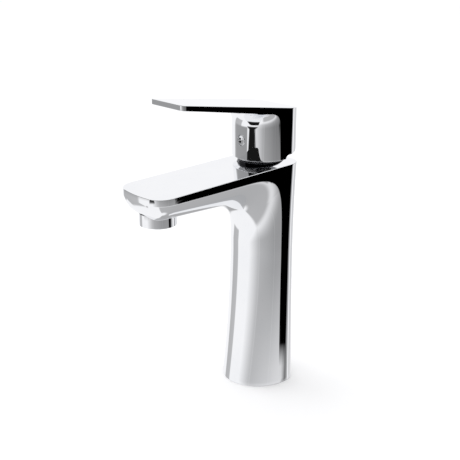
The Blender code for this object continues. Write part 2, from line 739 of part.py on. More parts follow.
def build_body(materials):
    """The casting, bored for chamber, nut, ring, waterways, ports, gasket and aerator."""
    stations, corner, sweeps = body_stations()
    shell = bent_shell("body_casting", stations, corner, sweeps)
    body = add_object("body_casting", shell, materials["chrome"])
    core = boolean(body, column_core())
    port_top = FLOOR_HEIGHT + OVERCUT
    for side in (-1.0, 1.0):
        start, end = water_line(side)
        boolean(core, cylinder("pipe", start, end, INLET_RADIUS + PIPE_WALL, SMALL_ROUND))
    for side in (-1.0, 1.0):
        start, end = water_line(side)
        axis = (end - start).normalized()
        start_cut = start + axis * WATERWAY_START
        end_cut = end + axis * WATERWAY_OVERRUN
        boolean(body, cylinder("waterway", start_cut, end_cut, INLET_RADIUS, SMALL_ROUND))
        port = upright("hose_port", start[0], start[1], -OVERCUT, port_top, HOSE_PORT_RADIUS, SMALL_ROUND)
        boolean(body, port)
    for y in (BASE_REAR - STUD_INSET, STUD_INSET - BASE_FRONT):
        boolean(body, upright("stud_port", 0.0, y, -OVERCUT, port_top, STUD_RADIUS, SMALL_ROUND))
    outer = section_ring(0.0, GASKET_INSET - TOUCH)
    inner = section_ring(0.0, GASKET_INSET + GASKET_WIDTH + TOUCH)
    boolean(body, gasket_mesh("gasket_groove", outer, inner, -OVERCUT, GASKET_HEIGHT + TOUCH))

    top = HEAD_HEIGHT + FAR_CUT
    boolean(body, upright("chamber", 0.0, AXIS_Y, CHAMBER_FLOOR, top, CHAMBER_RADIUS))
    boolean(body, upright("nut_bore", 0.0, AXIS_Y, HOUSING_SHOULDER, top, NUT_RADIUS + THREAD_CLEARANCE))
    boolean(body, upright("ring_seat", 0.0, AXIS_Y, RING_BOTTOM - TOUCH, top, RING_RADIUS + TOUCH))
    channel_top = head_top(AERATOR_Y) - SPOUT_ROOF
    channel_mid = channel_top - SPOUT_CHANNEL_HEIGHT / 2
    bore_start = (0.0, AXIS_Y - CHAMBER_RADIUS + OUTLET_INSET, CHAMBER_FLOOR + OUTLET_RISE)
    bore_end = (0.0, -OUTLET_REACH, channel_mid)
    boolean(body, cylinder("outlet_bore", bore_start, bore_end, OUTLET_BORE_RADIUS, SMALL_ROUND))
    low = (-SPOUT_CHANNEL_HALF, AERATOR_Y, channel_top - SPOUT_CHANNEL_HEIGHT)
    high = (SPOUT_CHANNEL_HALF, -SPOUT_CHANNEL_ROOT, channel_top)
    boolean(body, block("spout_channel", low, high, SPOUT_CHANNEL_EDGE))
    bottom = aerator_bottom()
    seat_top = bottom + AERATOR_COLLAR + TOUCH
    boolean(body, upright("collar_seat", 0.0, AERATOR_Y, bottom - DEEP_CUT, seat_top, AERATOR_RADIUS + TOUCH))
    neck_top = seat_top + AERATOR_NECK + WASHER_HEIGHT + TOUCH
    neck_radius = AERATOR_NECK_RADIUS + TOUCH
    boolean(body, upright("neck_bore", 0.0, AERATOR_Y, seat_top - OVERCUT, neck_top, neck_radius))
    return body


def gasket_mesh(name, outer, inner, bottom, top):
    """A flat ring between two plan outlines with the same count of points."""
    bm = bmesh.new()
    loops = []
    for outline, z in ((outer, bottom), (outer, top), (inner, top), (inner, bottom)):
        loops.append([bm.verts.new((x, y, z)) for x, y in outline])
    loops.append(loops[0])
    for low, high in zip(loops, loops[1:]):
        for index in range(len(low)):
            after = (index + 1) % len(low)
            bm.faces.new((low[index], low[after], high[after], high[index]))
    return mesh_from(bm, name)


def build_gasket(materials):
    outer = section_ring(0.0, GASKET_INSET)
    inner = section_ring(0.0, GASKET_INSET + GASKET_WIDTH)
    mesh = gasket_mesh("base_gasket", outer, inner, 0.0, GASKET_HEIGHT)
    add_object("base_gasket", mesh, materials["rubber"])


def build_cartridge_shell(materials):
    """Housing, base, fixed disc, seals, nut and trim ring: all fixed to the body."""
    housing_bottom = BASE_DISC_BOTTOM + TOUCH
    groove = GUIDE_BOTTOM
    groove_floor = HOUSING_RADIUS - O_RING_GROOVE
    inner_top = GUIDE_SHOULDER + TOUCH
    profile = [
        (COLLAR_RADIUS, COLLAR_TOP),
        (COLLAR_RADIUS, HOUSING_SHOULDER),
        (HOUSING_RADIUS, HOUSING_SHOULDER),
        (HOUSING_RADIUS, groove + O_RING_GROOVE_HALF),
        (groove_floor, groove + O_RING_GROOVE_HALF),
        (groove_floor, groove - O_RING_GROOVE_HALF),
        (HOUSING_RADIUS, groove - O_RING_GROOVE_HALF),
        (HOUSING_RADIUS, housing_bottom),
        (HOUSING_BORE_RADIUS, housing_bottom),
        (HOUSING_BORE_RADIUS, inner_top),
        (GUIDE_RADIUS + TOUCH, inner_top),
        (GUIDE_RADIUS + TOUCH, GUIDE_TOP + TOUCH),
        (COLLAR_BORE_RADIUS, GUIDE_TOP + TOUCH),
        (COLLAR_BORE_RADIUS, COLLAR_TOP),
    ]
    add_object("cartridge_housing", turned("cartridge_housing", profile, AXIS_Y), materials["grey_plastic"])

    ring_middle = groove_floor + TOUCH / 2 + O_RING_RADIUS
    section = []
    for side in range(O_RING_SIDES):
        angle = -2.0 * math.pi * side / O_RING_SIDES
        radius = ring_middle + O_RING_RADIUS * math.cos(angle)
        section.append((radius, groove + O_RING_RADIUS * math.sin(angle)))
    add_object("cartridge_o_ring", turned("cartridge_o_ring", section, AXIS_Y), materials["rubber"])

    disc_top = BASE_DISC_BOTTOM + BASE_DISC_HEIGHT
    disc = upright("cartridge_base", 0.0, AXIS_Y, BASE_DISC_BOTTOM, disc_top, RUN)
    base = add_object("cartridge_base", disc, materials["grey_plastic"])
    for side, name in ((-1.0, "seal_hot"), (1.0, "seal_cold")):
        x = side * INLET_SPREAD
        y = AXIS_Y + INLET_BACK
        outer = upright("tube", x, y, TUBE_BOTTOM, disc_top - OVERCUT, INLET_TUBE_RADIUS, SMALL_ROUND)
        boolean(base, outer, "UNION")
        bore = upright("bore", x, y, TUBE_BOTTOM - OVERCUT, disc_top + OVERCUT, INLET_RADIUS, SMALL_ROUND)
        boolean(base, bore)
        seal_top = SEAL_BOTTOM + SEAL_HEIGHT
        ring = tube(name, INLET_TUBE_RADIUS, INLET_RADIUS, SEAL_BOTTOM, seal_top, y, SMALL_ROUND)
        ring.transform(Matrix.Translation((x, 0.0, 0.0)))
        add_object(name, ring, materials["rubber"])
    outlet = (0.0, AXIS_Y - OUTLET_FORWARD)
    low = BASE_DISC_BOTTOM - OVERCUT
    boolean(base, upright("outlet", *outlet, low, disc_top + OVERCUT, INLET_RADIUS, SMALL_ROUND))

    fixed_top = FIXED_DISC_BOTTOM + DISC_HEIGHT
    lower = upright("fixed_disc", 0.0, AXIS_Y, FIXED_DISC_BOTTOM, fixed_top, FIXED_DISC_RADIUS)
    fixed = add_object("fixed_disc", lower, materials["ceramic"])
    ports = [(side * INLET_SPREAD, AXIS_Y + INLET_BACK) for side in (-1.0, 1.0)] + [outlet]
    low = FIXED_DISC_BOTTOM - OVERCUT
    for x, y in ports:
        port = upright("port", x, y, low, fixed_top + OVERCUT, INLET_RADIUS * PORT_SHARE, SMALL_ROUND)
        boolean(fixed, port)

    nut_bore = COLLAR_RADIUS + TOUCH
    nut = tube("cartridge_nut", NUT_RADIUS, nut_bore, NUT_BOTTOM, NUT_TOP, AXIS_Y)
    nut = add_object("cartridge_nut", nut, materials["brass"])
    for step in range(NUT_SLOTS // 2):
        low = (-NUT_SLOT_HALF, -NUT_RADIUS - OVERCUT, NUT_TOP - NUT_SLOT_DEPTH)
        high = (NUT_SLOT_HALF, NUT_RADIUS + OVERCUT, NUT_TOP + OVERCUT)
        slot = block("slot", low, high)
        slot.transform(Matrix.Rotation(math.pi * step * 2 / NUT_SLOTS, 4, "Z"))
        slot.transform(Matrix.Translation((0.0, AXIS_Y, 0.0)))
        boolean(nut, slot)

    profile = [
        (nut_bore, RING_TOP),
        (RING_RADIUS - RING_ROUND, RING_TOP),
        (RING_RADIUS - RING_CHAMFER, RING_TOP - RING_CHAMFER),
        (RING_RADIUS, RING_TOP - RING_ROUND),
        (RING_RADIUS, RING_BOTTOM),
        (nut_bore, RING_BOTTOM),
    ]
    add_object("cap_ring", turned("cap_ring", profile, AXIS_Y), materials["chrome"])


def build_turning_head(materials, pivot):
    """Stem guide and lever pin, which turn with the lever but do not rock."""
    profile = [
        (0.0, GUIDE_TOP),
        (GUIDE_RADIUS, GUIDE_TOP),
        (GUIDE_RADIUS, GUIDE_SHOULDER),
        (RUN, GUIDE_SHOULDER),
        (RUN, GUIDE_BOTTOM),
        (0.0, GUIDE_BOTTOM),
    ]
    centre = (0.0, AXIS_Y, PIVOT_HEIGHT)
    mesh = turned("stem_guide", profile, AXIS_Y)
    guide = add_object("stem_guide", mesh, materials["white_plastic"], pivot, centre)
    half = STEM_BARREL_RADIUS + TOUCH
    low = (-half, AXIS_Y - GUIDE_SLOT_HALF, GUIDE_BOTTOM - OVERCUT)
    high = (half, AXIS_Y + GUIDE_SLOT_HALF, GUIDE_TOP + OVERCUT)
    boolean(guide, block("stem_slot", low, high))
    reach = GUIDE_RADIUS + OVERCUT
    left = (-reach, AXIS_Y, PIVOT_HEIGHT)
    right = (reach, AXIS_Y, PIVOT_HEIGHT)
    boolean(guide, cylinder("pin_hole", left, right, PIN_RADIUS + TOUCH / 2, SMALL_ROUND))
    length = GUIDE_RADIUS - TOUCH
    ends = [(side * length, AXIS_Y, PIVOT_HEIGHT) for side in (-1.0, 1.0)]
    pin = cylinder("lever_pin", *ends, PIN_RADIUS, SMALL_ROUND)
    add_object("lever_pin", pin, materials["steel"], pivot, centre)


def build_slider(materials, pivot):
    """Moving disc and its driver, which the ball of the stem pushes along."""
    rest_y = AXIS_Y + SLIDE_TRAVEL / 2
    centre = (0.0, rest_y, DRIVER_BOTTOM)
    top = MOVING_DISC_BOTTOM + DISC_HEIGHT
    disc = upright("moving_disc", 0.0, rest_y, MOVING_DISC_BOTTOM, top, MOVING_DISC_RADIUS)
    moving = add_object("moving_disc", disc, materials["ceramic"], pivot, centre)
    half = MOVING_DISC_RADIUS - POCKET_SIDE_RIM
    low = (-half, rest_y - MOVING_DISC_RADIUS + POCKET_FRONT_RIM, MOVING_DISC_BOTTOM - OVERCUT)
    high = (half, rest_y - POCKET_BACK, MOVING_DISC_BOTTOM + DISC_HEIGHT * POCKET_SHARE)
    boolean(moving, block("water_pocket", low, high))
    top = DRIVER_BOTTOM + DRIVER_HEIGHT
    body = upright("disc_driver", 0.0, rest_y, DRIVER_BOTTOM, top, DRIVER_RADIUS)
    driver = add_object("disc_driver", body, materials["white_plastic"], pivot, centre)
    socket = STEM_BALL_RADIUS + TOUCH
    ball_bottom = PIVOT_HEIGHT - STEM_ARM - STEM_BALL_RADIUS - TOUCH
    boolean(driver, upright("ball_socket", 0.0, AXIS_Y, ball_bottom, top + OVERCUT, socket, SMALL_ROUND))


def build_lever(materials, axis):
    """Lever casting, stem, grub screw and index plug, which turn and rock together."""
    pivot = (0.0, AXIS_Y, PIVOT_HEIGHT)
    stations, corner, sweeps = lever_stations()
    mesh = bent_shell("lever_handle", stations, corner, sweeps)
    lever = add_object("lever_handle", mesh, materials["chrome"], axis, pivot)
    boolean(lever, rear_relief())
    foot = hub_bottom(AXIS_Y)
    stem_top = PIVOT_HEIGHT + STEM_LENGTH
    half = STEM_SQUARE_HALF + SOCKET_CLEARANCE
    low = (-half, AXIS_Y - half, foot - FAR_CUT)
    high = (half, AXIS_Y + half, stem_top + SOCKET_CLEARANCE)
    boolean(lever, block("stem_socket", low, high))
    screw_height = LEVER_HEIGHT - SCREW_DROP
    screw_end = AXIS_Y - STEM_SQUARE_HALF - TOUCH
    front = -HUB_FRONT
    start = (0.0, front - OVERCUT, screw_height)
    plug_seat = front + PLUG_LENGTH + TOUCH
    hole_end = (0.0, AXIS_Y, screw_height)
    boolean(lever, cylinder("screw_hole", start, hole_end, SCREW_RADIUS + TOUCH, SMALL_ROUND))
    seat_end = (0.0, plug_seat, screw_height)
    boolean(lever, cylinder("plug_hole", start, seat_end, PLUG_RADIUS + TOUCH, SMALL_ROUND))

    plug_start = (0.0, front + PLUG_RECESS, screw_height)
    plug_end = (0.0, front + PLUG_LENGTH, screw_height)
    plug = cylinder("index_plug", plug_start, plug_end, PLUG_RADIUS, SMALL_ROUND)
    add_object("index_plug", plug, materials["grey_plastic"], axis, pivot)
    screw_start = (0.0, screw_end - SCREW_LENGTH, screw_height)
    screw = cylinder("set_screw", screw_start, (0.0, screw_end, screw_height), SCREW_RADIUS, SMALL_ROUND)
    screw = add_object("set_screw", screw, materials["steel"], axis, pivot)
    key_end = (0.0, screw_end - SCREW_LENGTH + KEY_DEPTH, screw_height)
    key_start = (0.0, screw_end - SCREW_LENGTH - OVERCUT, screw_height)
    boolean(screw, cylinder("key_socket", key_start, key_end, SCREW_RADIUS * KEY_SHARE, HEX))

    ball = bmesh.new()
    bmesh.ops.create_uvsphere(ball, u_segments=SMALL_ROUND, v_segments=BALL_RINGS, radius=STEM_BALL_RADIUS)
    arm_bottom = PIVOT_HEIGHT - STEM_ARM
    bmesh.ops.translate(ball, vec=(0.0, AXIS_Y, arm_bottom), verts=ball.verts)
    stem = add_object("stem", mesh_from(ball, "stem"), materials["steel"], axis, pivot)
    arm_radius = STEM_BALL_RADIUS * STEM_ARM_SHARE
    boolean(stem, upright("arm", 0.0, AXIS_Y, arm_bottom, PIVOT_HEIGHT, arm_radius, SMALL_ROUND), "UNION")
    low = PIVOT_HEIGHT - STEM_BARREL_HALF
    barrel = upright("barrel", 0.0, AXIS_Y, low, PIVOT_HEIGHT + STEM_BARREL_HALF, STEM_BARREL_RADIUS)
    boolean(stem, barrel, "UNION")
    square_bottom = stem_top - STEM_SQUARE_LENGTH
    shank_top = square_bottom + OVERCUT
    shank = upright("shank", 0.0, AXIS_Y, PIVOT_HEIGHT, shank_top, STEM_NECK_RADIUS, SMALL_ROUND)
    boolean(stem, shank, "UNION")
    half = STEM_SQUARE_HALF
    low = (-half, AXIS_Y - half, square_bottom)
    boolean(stem, block("square", low, (half, AXIS_Y + half, stem_top), STEM_SQUARE_EDGE), "UNION")
    reach = STEM_BARREL_RADIUS + OVERCUT
    ends = [(side * reach, AXIS_Y, PIVOT_HEIGHT) for side in (-1.0, 1.0)]
    boolean(stem, cylinder("pin_bore", *ends, PIN_RADIUS + TOUCH / 2, SMALL_ROUND))


def rear_relief():
    """The material taken off under the back of the lever so that it clears the body as it rocks."""
    line = LEVER_REAR - LEVER_REAR_RADIUS
    step_bottom = hub_bottom(line - HUB_STEP_RADIUS)
    arc_middle = lever_top(LEVER_REAR) - 2.0 * HUB_REAR_CUT_RADIUS + HUB_REAR_CUT_RISE
    arc_bottom = arc_middle - HUB_REAR_CUT_RADIUS
    outline = [(line - HUB_STEP_RADIUS, step_bottom - DEEP_CUT)]
    rise = arc_bottom - step_bottom
    for step in range(RELIEF_STEP_STEPS + 1):
        angle = math.pi / 2 * step / RELIEF_STEP_STEPS
        outline.append((line - HUB_STEP_RADIUS * math.cos(angle), step_bottom + rise * math.sin(angle)))
    for step in range(1, RELIEF_ARC_STEPS + 1):
        angle = math.pi / 2 * step / RELIEF_ARC_STEPS
        y = line + (LEVER_REAR - line) * math.sin(angle)
        outline.append((y, arc_middle - HUB_REAR_CUT_RADIUS * math.cos(angle)))
    outline.append((LEVER_REAR + FAR_CUT, arc_middle))
    outline.append((LEVER_REAR + FAR_CUT, step_bottom - DEEP_CUT))
    reach = LEVER_REAR_HALF_WIDTH + FAR_CUT
    rings = [[(x, y, z) for y, z in outline] for x in (-reach, reach)]
    return loft("rear_relief", rings)


def aerator_bottom():
    """Height of the aerator's lower rim."""
    tip = -SPOUT_REACH + SPOUT_TIP_RADIUS
    return head_top(tip) - SPOUT_DEPTH - AERATOR_DROP


def build_aerator(materials):
    """Aerator ring, honeycomb insert, screen and washer, screwed up into the spout."""
    y = AERATOR_Y
    bottom = aerator_bottom()
    shelf_top = bottom + AERATOR_SHELF_HEIGHT
    shoulder = bottom + AERATOR_COLLAR
    top = shoulder + AERATOR_NECK
    bore = AERATOR_NECK_RADIUS - AERATOR_WALL
    profile = [
        (bore, top),
        (AERATOR_NECK_RADIUS, top),
        (AERATOR_NECK_RADIUS, shoulder),
        (AERATOR_RADIUS, shoulder),
        (AERATOR_RADIUS, bottom + AERATOR_CHAMFER),
        (AERATOR_RADIUS - AERATOR_CHAMFER, bottom),
        (bore - AERATOR_SHELF, bottom),
        (bore - AERATOR_SHELF, shelf_top),
        (bore, shelf_top),
    ]
    add_object("aerator_housing", turned("aerator_housing", profile, y), materials["chrome"])
    insert_bottom = shelf_top + TOUCH
    insert_top = insert_bottom + INSERT_HEIGHT
    insert_radius = bore - TOUCH
    mesh = upright("aerator_insert", 0.0, y, insert_bottom, insert_top, insert_radius)
    insert = add_object("aerator_insert", mesh, materials["white_plastic"])
    jets = [(0.0, y)]
    for step in range(INSERT_HOLES):
        angle = 2.0 * math.pi * step / INSERT_HOLES
        spread = insert_radius * INSERT_HOLE_SHARE
        jets.append((spread * math.cos(angle), y + spread * math.sin(angle)))
    for jet in jets:
        low = insert_bottom - OVERCUT
        boolean(insert, upright("jet", *jet, low, insert_top + OVERCUT, INSERT_HOLE_RADIUS, JET_ROUND))
    screen_bottom = insert_top + TOUCH
    screen_top = screen_bottom + SCREEN_HEIGHT
    screen = upright("flow_screen", 0.0, y, screen_bottom, screen_top, insert_radius)
    screen = add_object("flow_screen", screen, materials["steel"])
    span = insert_radius * SCREEN_PITCH_SHARE
    half = SCREEN_OPENING_HALF
    for column in (-1, 0, 1):
        for row in (-1, 0, 1):
            x = column * span
            row_y = y + row * span
            low = (x - half, row_y - half, screen_bottom - OVERCUT)
            high = (x + half, row_y + half, screen_top + OVERCUT)
            boolean(screen, block("mesh_opening", low, high))
    washer_bottom = top + TOUCH
    washer_top = washer_bottom + WASHER_HEIGHT
    washer = tube("aerator_washer", AERATOR_NECK_RADIUS, bore, washer_bottom, washer_top, y)
    add_object("aerator_washer", washer, materials["rubber"])


def main():
    clear_scene()
    make_collection(PARTS, False)
    make_collection(CUTTERS, True)
    materials = {
        "chrome": make_material("chrome", (0.80, 0.81, 0.83), 0.04, 1.0),
        "brass": make_material("brass", (0.72, 0.55, 0.25), 0.30, 1.0),
        "steel": make_material("steel", (0.60, 0.60, 0.61), 0.28, 1.0),
        "rubber": make_material("rubber", (0.02, 0.02, 0.02), 0.70, 0.0),
        "ceramic": make_material("ceramic", (0.90, 0.89, 0.86), 0.15, 0.0),
        "white_plastic": make_material("white_plastic", (0.85, 0.85, 0.84), 0.40, 0.0),
        "grey_plastic": make_material("grey_plastic", (0.30, 0.31, 0.33), 0.45, 0.0),
    }
    build_body(materials)
    build_gasket(materials)
    build_cartridge_shell(materials)
    build_aerator(materials)
    turn_axis = add_empty("mix_axis", (0.0, AXIS_Y, PIVOT_HEIGHT))
    lift_axis = add_empty("lift_axis", (0.0, AXIS_Y, PIVOT_HEIGHT), turn_axis)
    build_turning_head(materials, turn_axis)
    build_slider(materials, turn_axis)
    build_lever(materials, lift_axis)


main()
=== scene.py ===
"""The looks of a chrome single-lever basin mixer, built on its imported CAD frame.

The frame has its origin at the middle of the base underside, +Z up and the spout along -Y.
Sizes are in millimetres in the classes and become metres where a mesh is made.
"""

import json
import logging
import math
from dataclasses import dataclass, field
from enum import Enum
from functools import cached_property
from typing import Callable, Iterator, Sequence

import bmesh
import bpy
import numpy as np
from bpy.types import Material, Mesh, Node, NodeTree, Object
from mathutils import Matrix, Vector


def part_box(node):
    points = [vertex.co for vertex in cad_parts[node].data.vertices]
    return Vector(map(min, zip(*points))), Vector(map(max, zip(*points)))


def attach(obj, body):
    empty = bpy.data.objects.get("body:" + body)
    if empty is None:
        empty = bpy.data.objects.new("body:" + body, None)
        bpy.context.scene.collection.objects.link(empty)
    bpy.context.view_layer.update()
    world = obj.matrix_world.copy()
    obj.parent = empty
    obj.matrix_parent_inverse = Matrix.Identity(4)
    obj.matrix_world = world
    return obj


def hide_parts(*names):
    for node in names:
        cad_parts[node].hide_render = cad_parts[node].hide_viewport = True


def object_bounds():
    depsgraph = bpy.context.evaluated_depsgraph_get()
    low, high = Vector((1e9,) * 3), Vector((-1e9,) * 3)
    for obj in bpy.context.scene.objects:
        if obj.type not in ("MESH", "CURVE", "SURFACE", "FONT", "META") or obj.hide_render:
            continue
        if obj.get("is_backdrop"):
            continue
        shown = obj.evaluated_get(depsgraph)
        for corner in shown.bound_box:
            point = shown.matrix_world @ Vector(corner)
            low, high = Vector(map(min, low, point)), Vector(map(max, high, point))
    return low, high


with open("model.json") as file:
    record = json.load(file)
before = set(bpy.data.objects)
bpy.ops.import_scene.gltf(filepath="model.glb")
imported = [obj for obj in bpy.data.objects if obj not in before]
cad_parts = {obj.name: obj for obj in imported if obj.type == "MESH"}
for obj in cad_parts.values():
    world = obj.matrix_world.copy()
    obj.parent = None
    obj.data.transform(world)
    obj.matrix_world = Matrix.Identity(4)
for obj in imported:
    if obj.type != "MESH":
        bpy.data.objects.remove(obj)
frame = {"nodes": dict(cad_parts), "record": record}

MM = 0.001
WELD = 1e-6
OVERCUT = 1.0
AERATOR_COLLAR = 8.0
AERATOR_LIP = 1.0
LOG = logging.getLogger("mixer")
Pair = tuple[float, float]
Triple = tuple[float, float, float]
Profile = Sequence[Pair]


def blend(low: float, high: float, share: float) -> float:
    """Return the value at a share of the way from low to high."""
    return low + (high - low) * share


def smooth_step(value: float) -> float:
    """Return value held to 0..1 and eased at both ends."""
    share = held(value)
    return share * share * (3.0 - 2.0 * share)


def held(value: float) -> float:
    """Return value held to 0..1."""
    return min(1.0, max(0.0, value))


def quarter_turn(steps: int) -> Iterator[Pair]:
    """Yield the cosine and sine at even steps through a quarter turn.

    Args:
        steps: How many steps the quarter turn is divided into.

    Yields:
        (cosine, sine) of each step, both ends with it.
    """
    for step in range(steps + 1):
        angle = math.pi / 2 * step / steps
        yield math.cos(angle), math.sin(angle)


def millimetres(node: str) -> tuple[Vector, Vector]:
    """Return the lowest and highest corner of a CAD node in millimetres.

    Args:
        node: The CAD node's name.

    Returns:
        Both corners of its box at rest.
    """
    low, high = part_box(node)
    return low / MM, high / MM


def body_holding(node: str) -> str:
    """Return the name of the CAD body that a node rides on.

    Args:
        node: The CAD node's name.

    Returns:
        The body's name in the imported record.
    """
    for body, nodes in frame["record"]["behaviour"]["bodies"].items():
        if node in nodes:
            return body
    raise KeyError(node)


def put_in_scene(name: str, data: bpy.types.ID) -> Object:
    """Make an object and link it to the scene.

    Args:
        name: The object's name.
        data: The mesh, lamp or camera that it holds.

    Returns:
        The new object.
    """
    obj = bpy.data.objects.new(name, data)
    bpy.context.scene.collection.objects.link(obj)
    return obj


def set_inputs(node: Node, *values: tuple[str, object]) -> None:
    """Give a node's inputs their plain values, as (input, value) pairs."""
    for name, value in values:
        node.inputs[name].default_value = value


def add_node(tree: NodeTree, kind: str, *values: tuple[str, object]) -> Node:
    """Add a node to a tree and set its inputs.

    Args:
        tree: The tree that gets the node.
        kind: The node's class.
        *values: (input, value) pairs.

    Returns:
        The new node.
    """
    node = tree.nodes.new(kind)
    set_inputs(node, *values)
    return node


def add_group(tree: NodeTree, group: NodeTree, *values: tuple[str, object]) -> Node:
    """Place a shared group in a tree and set its inputs.

    Args:
        tree: The tree that gets the group.
        group: The shared group.
        *values: (input, value) pairs.

    Returns:
        The new group node.
    """
    node = tree.nodes.new("ShaderNodeGroup")
    node.node_tree = group
    set_inputs(node, *values)
    return node


def wire(tree: NodeTree, *joins: tuple[Node, str | int, Node, str | int]) -> None:
    """Join nodes of a tree, each join as (node, its output, next node, its input)."""
    for source, output, target, entry in joins:
        tree.links.new(source.outputs[output], target.inputs[entry])


class Mesher:
    """Makes the plain solids and shells that the pieces are cut and turned from."""

    @staticmethod
    def skin(bm: bmesh.types.BMesh, rows: Sequence[Sequence[bmesh.types.BMVert]], around: bool,
             ringed: bool = True) -> None:
        """Fill the faces between neighbouring rows of vertices.

        Args:
            bm: The bmesh that holds the rows.
            rows: The rows in order.
            around: Whether the last row also meets the first.
            ringed: Whether each row closes on itself.
        """
        for low, high in zip(rows, [*rows[1:], *(rows[:1] if around else [])]):
            count = min(len(low), len(high))
            for index in range(count if ringed else count - 1):
                after = (index + 1) % len(low)
                bm.faces.new((low[index], low[after], high[after], high[index]))

    @staticmethod
    def finish(bm: bmesh.types.BMesh, name: str) -> Mesh:
        """Weld a bmesh, turn its faces outward and return it as a mesh in metres.

        Args:
            bm: The bmesh in millimetres, freed afterwards.
            name: The mesh's name.

        Returns:
            The new mesh.
        """
        bmesh.ops.remove_doubles(bm, verts=bm.verts, dist=WELD / MM)
        bmesh.ops.recalc_face_normals(bm, faces=bm.faces)
        bmesh.ops.scale(bm, vec=(MM, MM, MM), verts=bm.verts)
        mesh = bpy.data.meshes.new(name)
        bm.to_mesh(mesh)
        bm.free()
        return mesh

    @classmethod
    def cylinder(cls, name: str, start: Sequence[float], end: Sequence[float], radius: float,
                 segments: int = 96) -> Mesh:
        """Return a cylinder between two points.

        Args:
            name: The mesh's name.
            start: The middle of one end.
            end: The middle of the other end.
            radius: Its radius.
            segments: How many sides it is divided into.

        Returns:
            The closed mesh.
        """
        low, high = Vector(start), Vector(end)
        axis = high - low
        bm = bmesh.new()
        bmesh.ops.create_cone(bm, cap_ends=True, segments=segments, radius1=radius, radius2=radius,
                              depth=axis.length)
        turn = Vector((0.0, 0.0, 1.0)).rotation_difference(axis).to_matrix().to_4x4()
        bmesh.ops.transform(bm, matrix=Matrix.Translation((low + high) / 2) @ turn, verts=bm.verts)
        return cls.finish(bm, name)

    @classmethod
    def block(cls, name: str, low: Sequence[float], high: Sequence[float]) -> Mesh:
        """Return a box.

        Args:
            name: The mesh's name.
            low: Its lowest corner.
            high: Its highest corner.

        Returns:
            The closed mesh.
        """
        start, end = Vector(low), Vector(high)
        bm = bmesh.new()
        bmesh.ops.create_cube(bm, size=1.0)
        bmesh.ops.scale(bm, vec=end - start, verts=bm.verts)
        bmesh.ops.translate(bm, vec=(start + end) / 2, verts=bm.verts)
        return cls.finish(bm, name)

    @classmethod
    def loft(cls, name: str, rings: Sequence[Sequence[Sequence[float]]]) -> Mesh:
        """Return the closed solid through rings.

        Args:
            name: The mesh's name.
            rings: The points of each ring, the same count in every one.

        Returns:
            The closed mesh.
        """
        bm = bmesh.new()
        rows = [[bm.verts.new(point) for point in ring] for ring in rings]
        cls.skin(bm, rows, False)
        bm.faces.new(rows[0])
        bm.faces.new(rows[-1])
        return cls.finish(bm, name)

    @classmethod
    def ring_between(cls, name: str, outer: Profile, inner: Profile, bottom: float,
                     top: float) -> Mesh:
        """Return a flat ring between two plan outlines.

        Args:
            name: The mesh's name.
            outer: The outer outline.
            inner: The inner outline, with the same count of points.
            bottom: The height of its underside.
            top: The height of its upper side.

        Returns:
            The closed mesh.
        """
        bm = bmesh.new()
        loops = [
            [bm.verts.new((x, y, z)) for x, y in outline]
            for outline, z in ((outer, bottom), (outer, top), (inner, top), (inner, bottom))
        ]
        cls.skin(bm, loops, True)
        return cls.finish(bm, name)

    @staticmethod
    def softened(profile: Profile, radii: Sequence[float], steps: int = 5) -> list[Pair]:
        """Round the corners of a closed profile.

        Args:
            profile: Corner points as (radius, height).
            radii: How far from each corner its rounding starts.
            steps: How many chords a rounding has.

        Returns:
            The rounded profile.
        """
        points: list[Pair] = []
        count = len(profile)
        for index, radius in enumerate(radii):
            corner = np.array(profile[index])
            before = np.array(profile[index - 1]) - corner
            after = np.array(profile[(index + 1) % count]) - corner
            start = corner + before / np.linalg.norm(before) * radius
            end = corner + after / np.linalg.norm(after) * radius
            for step in range(steps + 1):
                t = step / steps
                point = start * (1 - t) ** 2 + corner * 2 * t * (1 - t) + end * t * t
                points.append((float(point[0]), float(point[1])))
        return points

    @classmethod
    def lathe(cls, name: str, profile: Profile, axis_y: float, segments: int = 128) -> Mesh:
        """Return the closed ring that a profile sweeps about an upright line.

        Args:
            name: The mesh's name.
            profile: The closed profile as (radius, height) points.
            axis_y: The line's place along Y.
            segments: How many sides it has.

        Returns:
            The closed mesh.
        """
        bm = bmesh.new()
        rows = []
        for step in range(segments):
            angle = 2.0 * math.pi * step / segments
            rows.append([
                bm.verts.new((r * math.cos(angle), axis_y + r * math.sin(angle), z)) for r, z in profile
            ])
        cls.skin(bm, rows, True)
        return cls.finish(bm, name)

    @classmethod
    def button(cls, name: str, centre: Sequence[float], profile: Profile,
               segments: int = 64) -> Mesh:
        """Return a closed disc turned about a line along Y.

        Args:
            name: The mesh's name.
            centre: The point that the profile's distances are counted from.
            profile: (radius, distance back along +Y) points, from the middle of the front to the
                middle of the back.
            segments: How many sides it has.

        Returns:
            The closed mesh.
        """
        bm = bmesh.new()
        x, y, z = centre
        rows = []
        for step in range(segments):
            angle = 2.0 * math.pi * step / segments
            rows.append([
                bm.verts.new((x + r * math.cos(angle), y + depth, z + r * math.sin(angle)))
                for r, depth in profile
            ])
        cls.skin(bm, rows, True, ringed=False)
        return cls.finish(bm, name)

